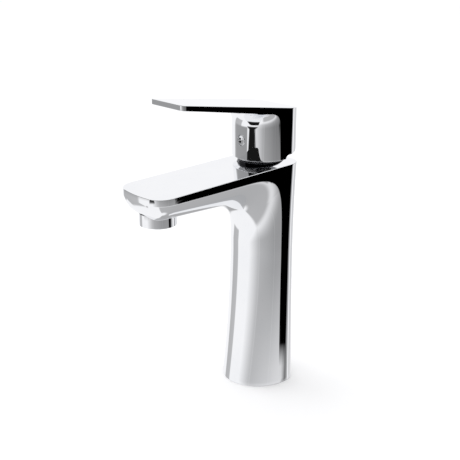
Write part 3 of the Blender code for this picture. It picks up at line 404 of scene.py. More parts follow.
    @staticmethod
    def carve(mesh: Mesh, tools: Sequence[Mesh]) -> Mesh:
        """Cut tools out of a mesh and return the result.

        Args:
            mesh: The solid to cut.
            tools: The solids taken away, in order.

        Returns:
            The cut mesh. The tools and the first mesh are removed.
        """
        solid = put_in_scene("carved", mesh)
        helpers = []
        for index, tool in enumerate(tools):
            helper = put_in_scene(f"tool_{index}", tool)
            cut = solid.modifiers.new(f"cut_{index}", "BOOLEAN")
            cut.operation = "DIFFERENCE"
            cut.solver = "EXACT"
            cut.object = helper
            helpers.append(helper)
        depsgraph = bpy.context.evaluated_depsgraph_get()
        result = bpy.data.meshes.new_from_object(solid.evaluated_get(depsgraph))
        for helper in [solid, *helpers]:
            bpy.data.objects.remove(helper, do_unlink=True)
        return result


class Grain(Enum):
    """How the fine marks on a surface run."""

    EVEN = "even"
    TURNED = "turned"
    DRAWN = "drawn"


class ShaderKit:
    """Builds each shared shader effect once and hands it to every finish that asks."""

    def __init__(self) -> None:
        """Start with no grain built."""
        self._grains: dict[Grain, NodeTree] = {}

    def _open(self, name: str, inputs: Sequence[tuple[str, str, object]],
              outputs: Sequence[tuple[str, str]]) -> tuple[NodeTree, Node, Node]:
        """Make an empty node group with named sockets.

        Args:
            name: The group's name.
            inputs: (name, socket type, default) of each input.
            outputs: (name, socket type) of each output.

        Returns:
            The new group, its input node and its output node.
        """
        group = bpy.data.node_groups.new(name, "ShaderNodeTree")
        for label, kind, value in inputs:
            socket = group.interface.new_socket(label, in_out="INPUT", socket_type=kind)
            socket.default_value = value
        for label, kind in outputs:
            group.interface.new_socket(label, in_out="OUTPUT", socket_type=kind)
        return group, group.nodes.new("NodeGroupInput"), group.nodes.new("NodeGroupOutput")

    @cached_property
    def haze(self) -> NodeTree:
        """The group that varies roughness in soft clouds.

        Returns:
            The group, built on first use.
        """
        group, given, out = self._open("surface_haze", [
            ("Scale", "NodeSocketFloat", 20.0),
            ("Low", "NodeSocketFloat", 0.02),
            ("High", "NodeSocketFloat", 0.06),
        ], [("Roughness", "NodeSocketFloat"), ("Mask", "NodeSocketFloat")])
        place = add_node(group, "ShaderNodeTexCoord")
        clouds = add_node(group, "ShaderNodeTexNoise", ("Detail", 5.0), ("Roughness", 0.62))
        shape = add_node(group, "ShaderNodeMapRange", ("From Min", 0.36), ("From Max", 0.66))
        spread = add_node(group, "ShaderNodeMapRange")
        wire(group, (place, "Object", clouds, "Vector"), (given, "Scale", clouds, "Scale"),
             (clouds, "Fac", shape, "Value"), (shape, "Result", spread, "Value"),
             (given, "Low", spread, "To Min"), (given, "High", spread, "To Max"),
             (spread, "Result", out, "Roughness"), (shape, "Result", out, "Mask"))
        return group

    @cached_property
    def drift(self) -> NodeTree:
        """The group that mixes two near colours by a mask and by handling wear on edges.

        Returns:
            The group, built on first use.
        """
        group, given, out = self._open("colour_drift", [
            ("Main", "NodeSocketColor", (0.5, 0.5, 0.5, 1.0)),
            ("Second", "NodeSocketColor", (0.4, 0.4, 0.4, 1.0)),
            ("Worn", "NodeSocketColor", (0.6, 0.6, 0.6, 1.0)),
            ("Mask", "NodeSocketFloat", 0.0),
            ("Wear", "NodeSocketFloat", 0.2),
        ], [("Color", "NodeSocketColor")])
        first, second = (add_node(group, "ShaderNodeMix") for _ in range(2))
        first.data_type = second.data_type = "RGBA"
        share, one, other, mixed = 0, 6, 7, 2
        shape = add_node(group, "ShaderNodeNewGeometry")
        edge = add_node(group, "ShaderNodeMapRange", ("From Min", 0.52), ("From Max", 0.60))
        amount = add_node(group, "ShaderNodeMath")
        amount.operation = "MULTIPLY"
        wire(group, (given, "Mask", first, share), (given, "Main", first, one),
             (given, "Second", first, other), (shape, "Pointiness", edge, "Value"),
             (edge, "Result", amount, 0), (given, "Wear", amount, 1),
             (amount, "Value", second, share), (first, mixed, second, one),
             (given, "Worn", second, other), (second, mixed, out, "Color"))
        return group

    def grain(self, kind: Grain) -> NodeTree:
        """Return the group that gives the height of fine marks.

        Args:
            kind: How the marks run.

        Returns:
            The group for that kind.
        """
        if kind not in self._grains:
            stretch = {
                Grain.EVEN: (1.0, 1.0, 1.0),
                Grain.TURNED: (0.04, 0.04, 1.0),
                Grain.DRAWN: (1.0, 1.0, 0.03),
            }[kind]
            group, given, out = self._open(f"grain_{kind.value}", [("Scale", "NodeSocketFloat", 900.0)],
                                           [("Height", "NodeSocketFloat")])
            place = add_node(group, "ShaderNodeTexCoord")
            mapping = add_node(group, "ShaderNodeMapping", ("Scale", stretch))
            marks = add_node(group, "ShaderNodeTexNoise", ("Detail", 3.0))
            wire(group, (place, "Object", mapping, "Vector"), (mapping, "Vector", marks, "Vector"),
                 (given, "Scale", marks, "Scale"), (marks, "Fac", out, "Height"))
            self._grains[kind] = group
        return self._grains[kind]


@dataclass(frozen=True)
class Finish:
    """One surface finish, with the range over which it varies."""

    name: str
    slot: str
    main: Triple
    second: Triple
    worn: Triple
    metallic: float
    rough_low: float
    rough_high: float
    haze_scale: float
    grain: Grain
    grain_scale: float
    grain_depth: float
    wear: float = 0.2
    specular: float = 0.5

    def build(self, kit: ShaderKit) -> Material:
        """Make the material for this finish.

        Args:
            kit: The shared effects.

        Returns:
            The new material.
        """
        material = bpy.data.materials.new(self.name)
        material.use_nodes = True
        tree = material.node_tree
        shader = tree.nodes["Principled BSDF"]
        set_inputs(shader, ("Metallic", self.metallic), ("Specular IOR Level", self.specular))
        haze = add_group(tree, kit.haze, ("Scale", self.haze_scale), ("Low", self.rough_low),
                         ("High", self.rough_high))
        drift = add_group(tree, kit.drift, ("Main", (*self.main, 1.0)), ("Second", (*self.second, 1.0)),
                          ("Worn", (*self.worn, 1.0)), ("Wear", self.wear))
        marks = add_group(tree, kit.grain(self.grain), ("Scale", self.grain_scale))
        bump = add_node(tree, "ShaderNodeBump", ("Distance", self.grain_depth), ("Strength", 1.0))
        wire(tree, (haze, "Roughness", shader, "Roughness"), (haze, "Mask", drift, "Mask"),
             (drift, "Color", shader, "Base Color"), (marks, "Height", bump, "Height"),
             (bump, "Normal", shader, "Normal"))
        return material


CHROME = Finish("polished_chrome", "chrome", (0.92, 0.925, 0.935), (0.89, 0.90, 0.915), (0.95, 0.95, 0.955),
                1.0, 0.012, 0.034, 26.0, Grain.EVEN, 240.0, 2.0e-7)
# Near-black chrome: its dark base colour is painted shade, standing in for the shadow gap under the hub
# foot.
SHADOW_GAP_CHROME = Finish("shadow_gap_chrome", "chrome", (0.045, 0.046, 0.050), (0.035, 0.036, 0.039),
                      (0.08, 0.08, 0.085), 1.0, 0.03, 0.07, 26.0, Grain.EVEN, 240.0, 2.0e-7)
BRASS = Finish("turned_brass", "brass", (0.72, 0.55, 0.26), (0.60, 0.44, 0.19), (0.84, 0.69, 0.38),
               1.0, 0.20, 0.34, 60.0, Grain.TURNED, 2600.0, 8.0e-6, 0.5)
STEEL = Finish("turned_steel", "steel", (0.60, 0.60, 0.61), (0.50, 0.50, 0.52), (0.72, 0.72, 0.72),
               1.0, 0.22, 0.36, 70.0, Grain.DRAWN, 2600.0, 8.0e-6, 0.4)
RUBBER = Finish("moulded_rubber", "rubber", (0.022, 0.022, 0.023), (0.034, 0.034, 0.035), (0.06, 0.06, 0.06),
                0.0, 0.60, 0.82, 90.0, Grain.EVEN, 3200.0, 1.6e-5, 0.3, 0.35)
CERAMIC = Finish("lapped_ceramic", "ceramic", (0.88, 0.87, 0.83), (0.82, 0.81, 0.77), (0.93, 0.92, 0.89),
                 0.0, 0.18, 0.30, 80.0, Grain.EVEN, 4200.0, 3.0e-6)
WHITE_PLASTIC = Finish("white_acetal", "white_plastic", (0.82, 0.82, 0.80), (0.76, 0.76, 0.74),
                       (0.88, 0.88, 0.87), 0.0, 0.34, 0.50, 60.0, Grain.EVEN, 2400.0, 9.0e-6)
GREY_PLASTIC = Finish("grey_nylon", "grey_plastic", (0.25, 0.26, 0.28), (0.19, 0.20, 0.22),
                      (0.36, 0.37, 0.39), 0.0, 0.38, 0.56, 70.0, Grain.EVEN, 2200.0, 1.2e-5)


class Palette:
    """The built materials, one for each finish, made when first asked for."""

    def __init__(self) -> None:
        """Start with an empty palette."""
        self._kit = ShaderKit()
        self._made: dict[str, Material] = {}

    def material(self, finish: Finish) -> Material:
        """Return the material of a finish.

        Args:
            finish: The finish.

        Returns:
            Its material, built on first use.
        """
        if finish.name not in self._made:
            self._made[finish.name] = finish.build(self._kit)
        return self._made[finish.name]

    def add(self, name: str, mesh: Mesh, finish: Finish, nodes: Sequence[str],
            sharp: float = 32.0) -> Object:
        """Make a piece that stands for CAD nodes.

        Args:
            name: The piece's name.
            mesh: Its mesh, in metres in the row frame.
            finish: Its finish.
            nodes: The CAD nodes it replaces.
            sharp: Edges that turn by more degrees than this stay sharp.

        Returns:
            The piece, riding on its nodes' body.
        """
        mesh.materials.clear()
        mesh.materials.append(self.material(finish))
        mesh.shade_smooth()
        mesh.set_sharp_from_angle(angle=math.radians(sharp))
        piece = put_in_scene(name, mesh)
        weigh = piece.modifiers.new("weigh_normals", "WEIGHTED_NORMAL")
        weigh.mode = "FACE_AREA"
        weigh.weight = 50
        weigh.keep_sharp = True
        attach(piece, body_holding(nodes[0]))
        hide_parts(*nodes)
        LOG.info("%s: %d faces, stands for %s", name, len(mesh.polygons), ", ".join(nodes))
        return piece

    def dress(self, node: str, finish: Finish) -> None:
        """Give a carried-over CAD node its finish.

        Args:
            node: The CAD node's name.
            finish: Its finish.
        """
        obj = frame["nodes"][node]
        if not obj.material_slots:
            obj.data.materials.append(self.material(finish))
        for place in obj.material_slots:
            place.material = self.material(finish)
        LOG.info("%s: kept from the frame, %s", node, finish.name)


@dataclass(frozen=True)
class Rib:
    """One rib of a bent shell, from the keel up the rounded side to the top corner."""

    edge: Triple
    keel: Pair
    crest: Triple
    fan: float = 0.0

    def arch(self, steps: int, crease: float) -> list[np.ndarray]:
        """Return the points from the edge to the keel.

        Args:
            steps: How many chords the arch has.
            crease: Degrees by which the arch turns away from the flat side at once.

        Returns:
            The points, edge first.
        """
        edge = np.array(self.edge)
        keel = np.array((0.0, *self.keel))
        side = np.array((edge[0], self.fan * (edge[1] - keel[1]), 0.0))
        middle = edge - side
        drop = keel - middle
        first = math.radians(crease)
        points = []
        for step in range(steps + 1):
            angle = blend(first, math.pi / 2, step / steps)
            across = math.cos(angle) / math.cos(first)
            down = (math.sin(angle) - math.sin(first)) / (1.0 - math.sin(first))
            points.append(middle + side * across + drop * down)
        return points


@dataclass(frozen=True)
class Curve:
    """A cubic curve in the middle plane, by four (y, z) control points."""

    points: tuple[Pair, ...]

    def at(self, t: float) -> Pair:
        """Return a point of the curve.

        Args:
            t: How far along it is, from 0 to 1.

        Returns:
            The point as (y, z).
        """
        weights = ((1 - t) ** 3, 3 * t * (1 - t) ** 2, 3 * t * t * (1 - t), t**3)
        y, z = np.array(self.points).T @ np.array(weights)
        return float(y), float(z)


@dataclass(frozen=True)
class Fineness:
    """How many steps each stretch of a bent shell is divided into."""

    arch: int = 36
    upright: int = 36
    bend: int = 72
    bend_corner: int = 30
    arm: int = 24
    corner: int = 18
    front: int = 10
    rear: int = 16


@dataclass
class BentShell:
    """A D-shaped upright that turns through a soft inner bend into a flat-topped arm."""

    name: str
    crease: float
    top_rounding: float
    foot_rounding: float
    weld: float = 0.002
    fine: Fineness = field(default_factory=Fineness)

    def sweep(self, crest: Triple, radius: float, rear: float,
              slope: float) -> list[np.ndarray]:
        """Return the points from the side band round the rear corner to the middle of the back.

        Args:
            crest: The side band's rear end.
            radius: The corner's radius across.
            rear: Where the back is along Y.
            slope: How much the points rise for each millimetre back.

        Returns:
            The points, crest first.
        """
        half, start, height = crest
        reach = rear - start
        points = []
        for cosine, sine in quarter_turn(self.fine.rear):
            y = start + reach * sine
            points.append(np.array((half - radius * (1.0 - cosine), y, height + slope * (y - start))))
        points.append(np.array((0.0, rear, height + slope * reach)))
        return points

    def tip(self, half: float, reach: float, radius: float, bow: float) -> Iterator[Pair]:
        """Yield plan points of the arm's end, from the side round the corner to the middle.

        Args:
            half: The arm's half width there.
            reach: How far forward its corners end.
            radius: The corner's radius.
            bow: How much the end stands out in the middle.

        Yields:
            The points as (x, y).
        """
        for cosine, sine in quarter_turn(self.fine.corner):
            yield half - radius + radius * cosine, -reach + radius - radius * sine
        flat = half - radius
        for step in range(1, self.fine.front + 1):
            x = flat * (1.0 - step / self.fine.front)
            yield x, -reach - bow * (1.0 - (x / flat) ** 2)

    def bend(self, band: Curve, keel: Curve, crest: Pair, back: Pair,
             upright: Callable[[Pair, Pair, float], None],
             slab: Callable[[Pair, Pair, float], None]) -> None:
        """Lay the ribs of the inner bend.

        Args:
            band: The front edge of the side band.
            keel: The middle line of the inside.
            crest: Heights of the first and the last upright's crest.
            back: Places along Y of the first and the last slab's crest, the first not laid.
            upright: Adds a rib that has a rear sweep, up to the rear corner.
            slab: Adds a rib past that corner.
        """
        ends = self.fine.bend_corner
        for step in range(self.fine.bend + 1):
            t = step / self.fine.bend
            if step <= ends:
                upright(band.at(t), keel.at(t), blend(*crest, step / ends))
            else:
                slab(band.at(t), keel.at(t), blend(*back, (step - ends) / (self.fine.bend - ends)))

    def mesh(self, ribs: Sequence[Rib], corner: int, sweeps: Sequence[Sequence[np.ndarray]]) -> Mesh:
        """Join the ribs into a closed shell, mirrored across the middle plane.

        Args:
            ribs: The ribs in order from the foot to the tip.
            corner: The last rib that has a rear sweep.
            sweeps: The rear sweep of each rib up to that one.

        Returns:
            The closed mesh with rounded top and foot edges.
        """
        bm = bmesh.new()
        rows = []
        for index, rib in enumerate(ribs):
            row = [bm.verts.new(point) for point in reversed(rib.arch(self.fine.arch, self.crease))]
            row.append(bm.verts.new(rib.crest))
            if index <= corner:
                row += [bm.verts.new(point) for point in sweeps[index][1:]]
            rows.append(row)
        Mesher.skin(bm, rows, False, ringed=False)
        last = self.fine.arch + 1
        bm.faces.new(rows[0])
        bm.faces.new([row[last] for row in rows[corner:]] + list(reversed(rows[corner][last + 1:])))
        bmesh.ops.remove_doubles(bm, verts=bm.verts, dist=self.weld)
        bmesh.ops.recalc_face_normals(bm, faces=bm.faces)
        copies = bmesh.ops.duplicate(bm, geom=bm.verts[:] + bm.edges[:] + bm.faces[:])["geom"]
        twins = [item for item in copies if isinstance(item, bmesh.types.BMVert)]
        bmesh.ops.scale(bm, vec=(-1.0, 1.0, 1.0), verts=twins)
        bmesh.ops.reverse_faces(bm, faces=[item for item in copies if isinstance(item, bmesh.types.BMFace)])
        bmesh.ops.remove_doubles(bm, verts=bm.verts, dist=self.weld)
        bmesh.ops.recalc_face_normals(bm, faces=bm.faces)
        self._round(bm)
        return Mesher.finish(bm, self.name)

    def _round(self, bm: bmesh.types.BMesh) -> None:
        """Round the edges of the flat top and the flat foot.

        Args:
            bm: The shell, in which each flat is still in two halves.
        """
        bm.faces.ensure_lookup_table()
        flats = sorted(bm.faces, key=lambda face: -len(face.verts))[:4]
        seam = [edge for edge in bm.edges
                if len(edge.link_faces) == 2 and all(face in flats for face in edge.link_faces)]
        bmesh.ops.dissolve_edges(bm, edges=seam, use_verts=False)
        flats = sorted(bm.faces, key=lambda face: -len(face.verts))[:2]
        flats.sort(key=lambda face: face.calc_center_median().z)
        for face, width in zip(flats, (self.foot_rounding, self.top_rounding)):
            if width:
                bmesh.ops.bevel(bm, geom=list(face.edges), offset=width, segments=3, affect="EDGES",
                                profile=0.5, clamp_overlap=True)


@dataclass
class BodyCasting:
    """Column and spout in one casting, with its chamber, ports and aerator seat."""

    base_half: float = 25.0
    base_front: float = 21.4
    base_rear: float = 21.4
    base_radius: float = 12.7
    waist_half: float = 23.5
    waist_front: float = 14.0
    waist_rear: float = 19.4
    waist_radius: float = 9.4
    waist_height: float = 95.0
    head_height: float = 157.08
    head_half: float = 23.74
    head_rear: float = 21.64
    head_radius: float = 10.4
    head_slope: float = 0.071
    band_base: float = 3.0
    band_head: float = 4.2
    flare: float = 1.7
    reach: float = 93.4
    bow: float = 0.8
    tip_half: float = 24.25
    tip_radius: float = 12.2
    tip_band: float = 4.1
    root_band: float = 4.9
    depth: float = 18.8
    root_y: float = -22.0
    keel_root_y: float = -42.0
    band_drop: float = 43.0
    band_pull: float = 32.0
    band_lean: float = 0.2
    band_turn: float = 2.2
    keel_drop: float = 53.0
    keel_pull: float = 18.0
    keel_turn: float = 8.0
    keel_inset: float = 1.7
    crest_lead: float = 3.0
    port_radius: float = 4.6
    port_spread: float = 8.5
    port_front: float = 2.0
    stud_radius: float = 3.4
    stud_back: float = 12.5
    floor: float = 10.0
    groove_outside: float = 2.9
    groove_inside: float = 5.9
    groove_depth: float = 2.5
    gap: float = 0.3
    chamber_gap: float = 0.4
    neck_room: float = 1.8
    seat_run: float = 30.0
    head_run: float = 10.0
    shell: BentShell = field(default_factory=lambda: BentShell("body_shell", 9.0, 0.4, 0.5))

    def top(self, y: float) -> float:
        """Return the height of the sloped top face."""
        return self.head_height + self.head_slope * y

    def section(self, z: float) -> tuple[float, float, float, float, float]:
        """Return the column's measures at a height.

        Args:
            z: The height.

        Returns:
            Half width, front of the side band, keel, rear and rear radius.
        """
        if z < self.waist_height:
            share = max(0.0, 1.0 - z / self.waist_height) ** self.flare
            ends = (self.base_half, self.base_front, self.base_rear, self.base_radius)
        else:
            share = ((z - self.waist_height) / (self.head_height - self.waist_height)) ** 2
            ends = (self.head_half, self.waist_front, self.head_rear, self.head_radius)
        width, front, rear, radius = ends
        band = blend(self.band_base, self.band_head, min(1.0, z / self.waist_height))
        return (blend(self.waist_half, width, share), band, -blend(self.waist_front, front, share),
                blend(self.waist_rear, rear, share), blend(self.waist_radius, radius, share))

    def ribs(self) -> tuple[list[Rib], int, list[list[np.ndarray]]]:
        """Lay out the ribs from the foot to the tip.

        Returns:
            The ribs, the number of the last one with a rear sweep, and the sweeps.
        """
        fine = self.shell.fine
        ribs: list[Rib] = []
        sweeps: list[list[np.ndarray]] = []
        band_start = self.head_height - self.band_drop
        keel_start = self.head_height - self.keel_drop
        crest_start = band_start + self.crest_lead
        rear_line = self.head_rear - self.head_radius
        corner_top = self.top(rear_line)

        def upright(edge: Pair, keel: Pair, height: float) -> None:
            """Add one rib of the column with its rear sweep.

            Args:
                edge: Front edge of the side band.
                keel: Middle of the inside.
                height: The crest's height.
            """
            half, _, _, rear, radius = self.section(height)
            crest = (half, rear - radius, height)
            ribs.append(Rib((half, *edge), keel, crest))
            sweeps.append(self.shell.sweep(crest, radius, rear, self.head_slope * height / corner_top))

        def slab(edge: Pair, keel: Pair, y: float) -> None:
            """Add one rib past the rear corner, its crest at y on the top."""
            ribs.append(Rib((self.head_half, *edge), keel, (self.head_half, y, self.top(y))))

        for step in range(fine.upright):
            share = step / fine.upright
            edge_z, keel_z = band_start * share, keel_start * share
            edge, keel = (self.section(edge_z)[1], edge_z), (self.section(keel_z)[2], keel_z)
            upright(edge, keel, crest_start * share)

        band_root = self.top(self.root_y) - self.root_band
        tip_edge = -self.reach + self.tip_radius
        band_tip = self.top(tip_edge) - self.tip_band
        fall = (band_root - band_tip) / (self.root_y - tip_edge)
        front = self.section(band_start)[1]
        band = Curve(((front, band_start), (front - self.band_lean, band_start + self.band_pull),
                      (front - self.band_turn, self.top(0.0) - self.root_band),
                      (self.root_y, band_root)))
        level = self.top(tip_edge) - self.depth
        inside = Curve(((-self.waist_front, keel_start), (-self.waist_front, keel_start + self.keel_pull),
                        (-self.waist_front - self.keel_turn, level), (self.keel_root_y, level)))
        self.shell.bend(band, inside, (crest_start, corner_top), (rear_line, self.root_y), upright, slab)
        keel_end = tip_edge + self.keel_inset
        for step in range(1, fine.arm + 1):
            share = step / fine.arm
            width = blend(self.head_half, self.tip_half, share)
            y = blend(self.root_y, tip_edge, share)
            low = (blend(self.keel_root_y, keel_end, share), level)
            edge = (width, y, band_root + fall * (y - self.root_y))
            ribs.append(Rib(edge, low, (width, y, self.top(y)), share))
        for x, y in list(self.shell.tip(self.tip_half, self.reach, self.tip_radius, self.bow))[1:]:
            edge = (x, y, self.top(y) - self.tip_band)
            ribs.append(Rib(edge, (keel_end, level), (x, y, self.top(y)), 1.0))
        return ribs, fine.upright + fine.bend_corner, sweeps

    def outline(self, inset: float, steps: int = 24) -> list[Pair]:
        """Return the base's plan outline, moved in.

        Args:
            inset: How far it is moved in.
            steps: How many chords each rounding has.

        Returns:
            The outline as (x, y) points.
        """
        half, band, keel, rear, radius = self.section(0.0)
        right = []
        for cosine, sine in quarter_turn(steps):
            right.append(((half - inset) * sine, band + (keel + inset - band) * cosine))
        inner = max(radius - inset, inset)
        for cosine, sine in quarter_turn(steps):
            right.append((half - inset - inner * (1.0 - cosine), rear - inset - inner * (1.0 - sine)))
        return right + [(-x, y) for x, y in reversed(right) if x > 0.01]

    def tools(self) -> list[Mesh]:
        """Make the solids cut out of the casting, placed from the CAD pieces they take.

        Returns:
            The solids, in the order they are cut.
        """
        ring_low, ring_high = millimetres("cap_ring")
        nut_low, nut_high = millimetres("cartridge_nut")
        housing_low, housing_high = millimetres("cartridge_housing")
        seal_low, _ = millimetres("seal_hot")
        ring_y = (ring_low.y + ring_high.y) / 2
        up = self.head_height + self.head_run
        cuts = [
            ("chamber", seal_low.z, (housing_high.x - housing_low.x) / 2 + self.chamber_gap),
            ("nut_bore", nut_low.z - self.gap, (nut_high.x - nut_low.x) / 2 + self.gap),
            ("ring_seat", ring_low.z - self.gap, (ring_high.x - ring_low.x) / 2 + self.gap),
        ]
        tools = [Mesher.cylinder(n, (0.0, ring_y, z), (0.0, ring_y, up), r) for n, z, r in cuts]
        for side in (-1.0, 1.0):
            ports = [("hose_port", side * self.port_spread, -self.port_front, self.port_radius),
                     ("stud_port", 0.0, side * self.stud_back, self.stud_radius)]
            tools += [Mesher.cylinder(n, (x, y, -OVERCUT), (x, y, self.floor + OVERCUT), r)
                      for n, x, y, r in ports]
        tools.append(Mesher.ring_between("groove", self.outline(self.groove_outside),
                                         self.outline(self.groove_inside), -OVERCUT, self.groove_depth))
        low, high = millimetres("aerator_housing")
        tip = (low.y + high.y) / 2
        collar = (high.x - low.x) / 2 + self.gap
        shoulder = low.z + AERATOR_COLLAR + self.gap
        seat = [("collar_seat", low.z - self.seat_run, shoulder, collar),
                ("neck_bore", shoulder - OVERCUT, high.z + self.neck_room, collar - AERATOR_LIP)]
        tools += [Mesher.cylinder(n, (0.0, tip, z), (0.0, tip, end), r) for n, z, end, r in seat]
        return tools

    def build(self, palette: Palette) -> None:
        """Build the casting and put its finish on."""
        mesh = Mesher.carve(self.shell.mesh(*self.ribs()), self.tools())
        palette.add("body_shell", mesh, CHROME, ["body_casting"])


@dataclass
class LeverAssembly:
    """Lever casting with its hub, index plug, grub screw and stem."""

    rise: float = 195.996
    slope: float = -0.110
    reach: float = 70.2
    rear: float = 21.66
    rear_radius: float = 10.96
    rear_half: float = 23.5
    tip_half: float = 17.4
    tip_radius: float = 3.0
    tip_thickness: float = 3.1
    root_thickness: float = 4.6
    crown: float = 0.4
    hub_front: float = 12.0
    hub_gap: float = 3.8
    band_front: float = 4.0
    step_radius: float = 3.3
    edge_root: float = -4.0
    keel_root: float = -26.0
    edge_drop: float = 7.0
    keel_drop: float = 10.5
    crest_drop: float = 12.0
    band_lean: float = 0.8
    knee_lean: float = 0.9
    knee_drop: float = 1.4
    knee_y: float = 1.6
    keel_knee: float = 3.0
    keel_pull: float = 4.0
    keel_inset: float = 5.0
    relief_rise: float = 3.6
    relief_run: float = 20.0
    side_run: float = 10.0
    socket_half: float = 3.5
    socket_bottom: float = 140.0
    socket_room: float = 0.3
    plug_gap: float = 0.12
    plug_run: float = 30.0
    dish_share: float = 0.78
    dish_depth: float = 0.75
    plug_rim: tuple[Pair, ...] = ((0.90, 0.0), (0.97, 0.12), (1.0, 0.35))
    body: BodyCasting = field(default_factory=BodyCasting)
    shell: BentShell = field(default_factory=lambda: BentShell("lever_shell", 0.0, 0.3, 0.3))

    def top(self, y: float) -> float:
        """Return the height of the lever's sloped top face."""
        return self.rise + self.slope * y

    def foot(self, y: float) -> float:
        """Return the height of the hub's underside."""
        return self.body.top(y) + self.hub_gap

    def half(self, y: float) -> float:
        """Return the half width, which narrows in a straight line to the tip."""
        return blend(self.rear_half, self.tip_half, (self.rear - y) / (self.rear + self.reach))

    def under(self, y: float) -> float:
        """Return the height of the lower edge of the plate's side band."""
        share = held(-y / self.reach)
        return self.top(y) - blend(self.root_thickness, self.tip_thickness, share)

    def ribs(self) -> tuple[list[Rib], int, list[list[np.ndarray]]]:
        """Lay out the ribs from the foot to the tip.

        Returns:
            The ribs, the number of the last one with a rear sweep, and the sweeps.
        """
        fine = self.shell.fine
        ribs: list[Rib] = []
        sweeps: list[list[np.ndarray]] = []
        line = self.rear - self.rear_radius
        hub_steps = fine.upright // 2
        corner_edge = self.under(0.0) - self.edge_drop
        corner_keel = self.under(0.0) - self.keel_drop
        corner_top = self.top(line)
        crest_start = corner_top - self.crest_drop
        bottom = self.foot(line)

        def upright(edge: Pair, keel: Pair, height: float) -> None:
            """Add one rib of the hub with its rear sweep.

            Args:
                edge: Front edge of the side band.
                keel: Middle of the inside.
                height: The crest's height.
            """
            crest = (self.half(line), line, height)
            ribs.append(Rib((self.half(edge[0]), *edge), keel, crest))
            share = (height - bottom) / (corner_top - bottom)
            slope = blend(self.body.head_slope, self.slope, share)
            sweeps.append(self.shell.sweep(crest, self.rear_radius, self.rear, slope))

        def slab(edge: Pair, keel: Pair, y: float) -> None:
            """Add one rib past the rear corner, its crest at y on the top."""
            ribs.append(Rib((self.half(edge[0]), *edge), keel, (self.half(y), y, self.top(y))))

        for step in range(hub_steps):
            share = step / hub_steps
            edge = (self.band_front - self.band_lean * share,
                    blend(self.foot(self.band_front), corner_edge, share))
            keel = (-self.hub_front, blend(self.foot(-self.hub_front), corner_keel, share))
            upright(edge, keel, blend(bottom, crest_start, share))
        band = Curve(((self.band_front - self.band_lean, corner_edge),
                      (self.band_front - self.knee_lean, self.under(0.0) - self.knee_drop),
                      (self.knee_y, self.under(self.knee_y)), (self.edge_root, self.under(self.edge_root))))
        pulled = -self.hub_front - self.keel_pull
        inside = Curve(((-self.hub_front, corner_keel),
                        (-self.hub_front, self.under(-self.hub_front) - self.keel_knee),
                        (pulled, self.under(pulled) - self.crown),
                        (self.keel_root, self.under(self.keel_root) - self.crown)))
        self.shell.bend(band, inside, (crest_start, corner_top), (line, self.edge_root), upright, slab)
        tip_edge = -self.reach + self.tip_radius
        keel_end = tip_edge + self.keel_inset
        for step in range(1, fine.arm + 1):
            share = step / fine.arm
            y = blend(self.edge_root, tip_edge, share)
            keel_y = blend(self.keel_root, keel_end, share)
            width = self.half(y)
            ribs.append(Rib((width, y, self.under(y)), (keel_y, self.under(keel_y) - self.crown),
                            (width, y, self.top(y)), share))
        last = (keel_end, self.under(keel_end) - self.crown)
        for x, y in list(self.shell.tip(self.half(tip_edge), self.reach, self.tip_radius, 0.0))[1:]:
            ribs.append(Rib((x, y, self.under(y)), last, (x, y, self.top(y)), 1.0))
        return ribs, hub_steps + fine.bend_corner, sweeps

    def relief(self) -> Mesh:
        """Make the solid taken off under the back, so that the lever clears the body.

        Returns:
            The closed solid, wider than the lever.
        """
        line = self.rear - self.rear_radius
        bottom = self.foot(line - self.step_radius)
        middle = self.top(self.rear) - 2.0 * self.rear_radius + self.relief_rise
        rise = middle - self.rear_radius - bottom
        far, deep = self.rear + self.side_run, bottom - self.relief_run
        outline = [(line - self.step_radius, deep)]
        outline += [(line - self.step_radius * cosine, bottom + rise * sine)
                    for cosine, sine in quarter_turn(12)]
        outline += [(line + self.rear_radius * sine, middle - self.rear_radius * cosine)
                    for cosine, sine in list(quarter_turn(32))[1:]]
        outline += [(far, middle), (far, deep)]
        reach = self.rear_half + self.side_run
        return Mesher.loft("relief", [[(x, y, z) for y, z in outline] for x in (-reach, reach)])

    def build(self, palette: Palette) -> None:
        """Build the lever and its plug, and dress the parts that it clamps.

        Args:
            palette: The finishes.
        """
        plug_low, plug_high = millimetres("index_plug")
        radius = (plug_high.x - plug_low.x) / 2
        z = (plug_low.z + plug_high.z) / 2
        stem_top = millimetres("stem")[1].z
        stem_y = self.body_axis()
        half = self.socket_half
        tools = [
            self.relief(),
            Mesher.block("socket", (-half, stem_y - half, self.socket_bottom),
                         (half, stem_y + half, stem_top + self.socket_room)),
            Mesher.cylinder("plug_hole", (0.0, -self.plug_run, z), (0.0, plug_high.y + self.socket_room, z),
                            radius + self.plug_gap),
        ]
        mesh = Mesher.carve(self.shell.mesh(*self.ribs()), tools)
        palette.add("lever_shell", mesh, CHROME, ["lever_handle"])
        depth = plug_high.y - plug_low.y
        profile = [(radius * self.dish_share * step / 10, self.dish_depth * (1.0 - (step / 10) ** 2))
                   for step in range(11)]
        profile += [(radius * share, back) for share, back in self.plug_rim]
        profile += [(radius, depth), (0.0, depth)]
        mesh = Mesher.button("index_button", (0.0, plug_low.y, z), profile)
        palette.add("index_button", mesh, CHROME, ["index_plug"], 50.0)
        for node in ("stem", "set_screw"):
            palette.dress(node, STEEL)

    @staticmethod
    def body_axis() -> float:
        """Return the cartridge axis' place along Y, from the trim ring."""
        low, high = millimetres("cap_ring")
        return (low.y + high.y) / 2


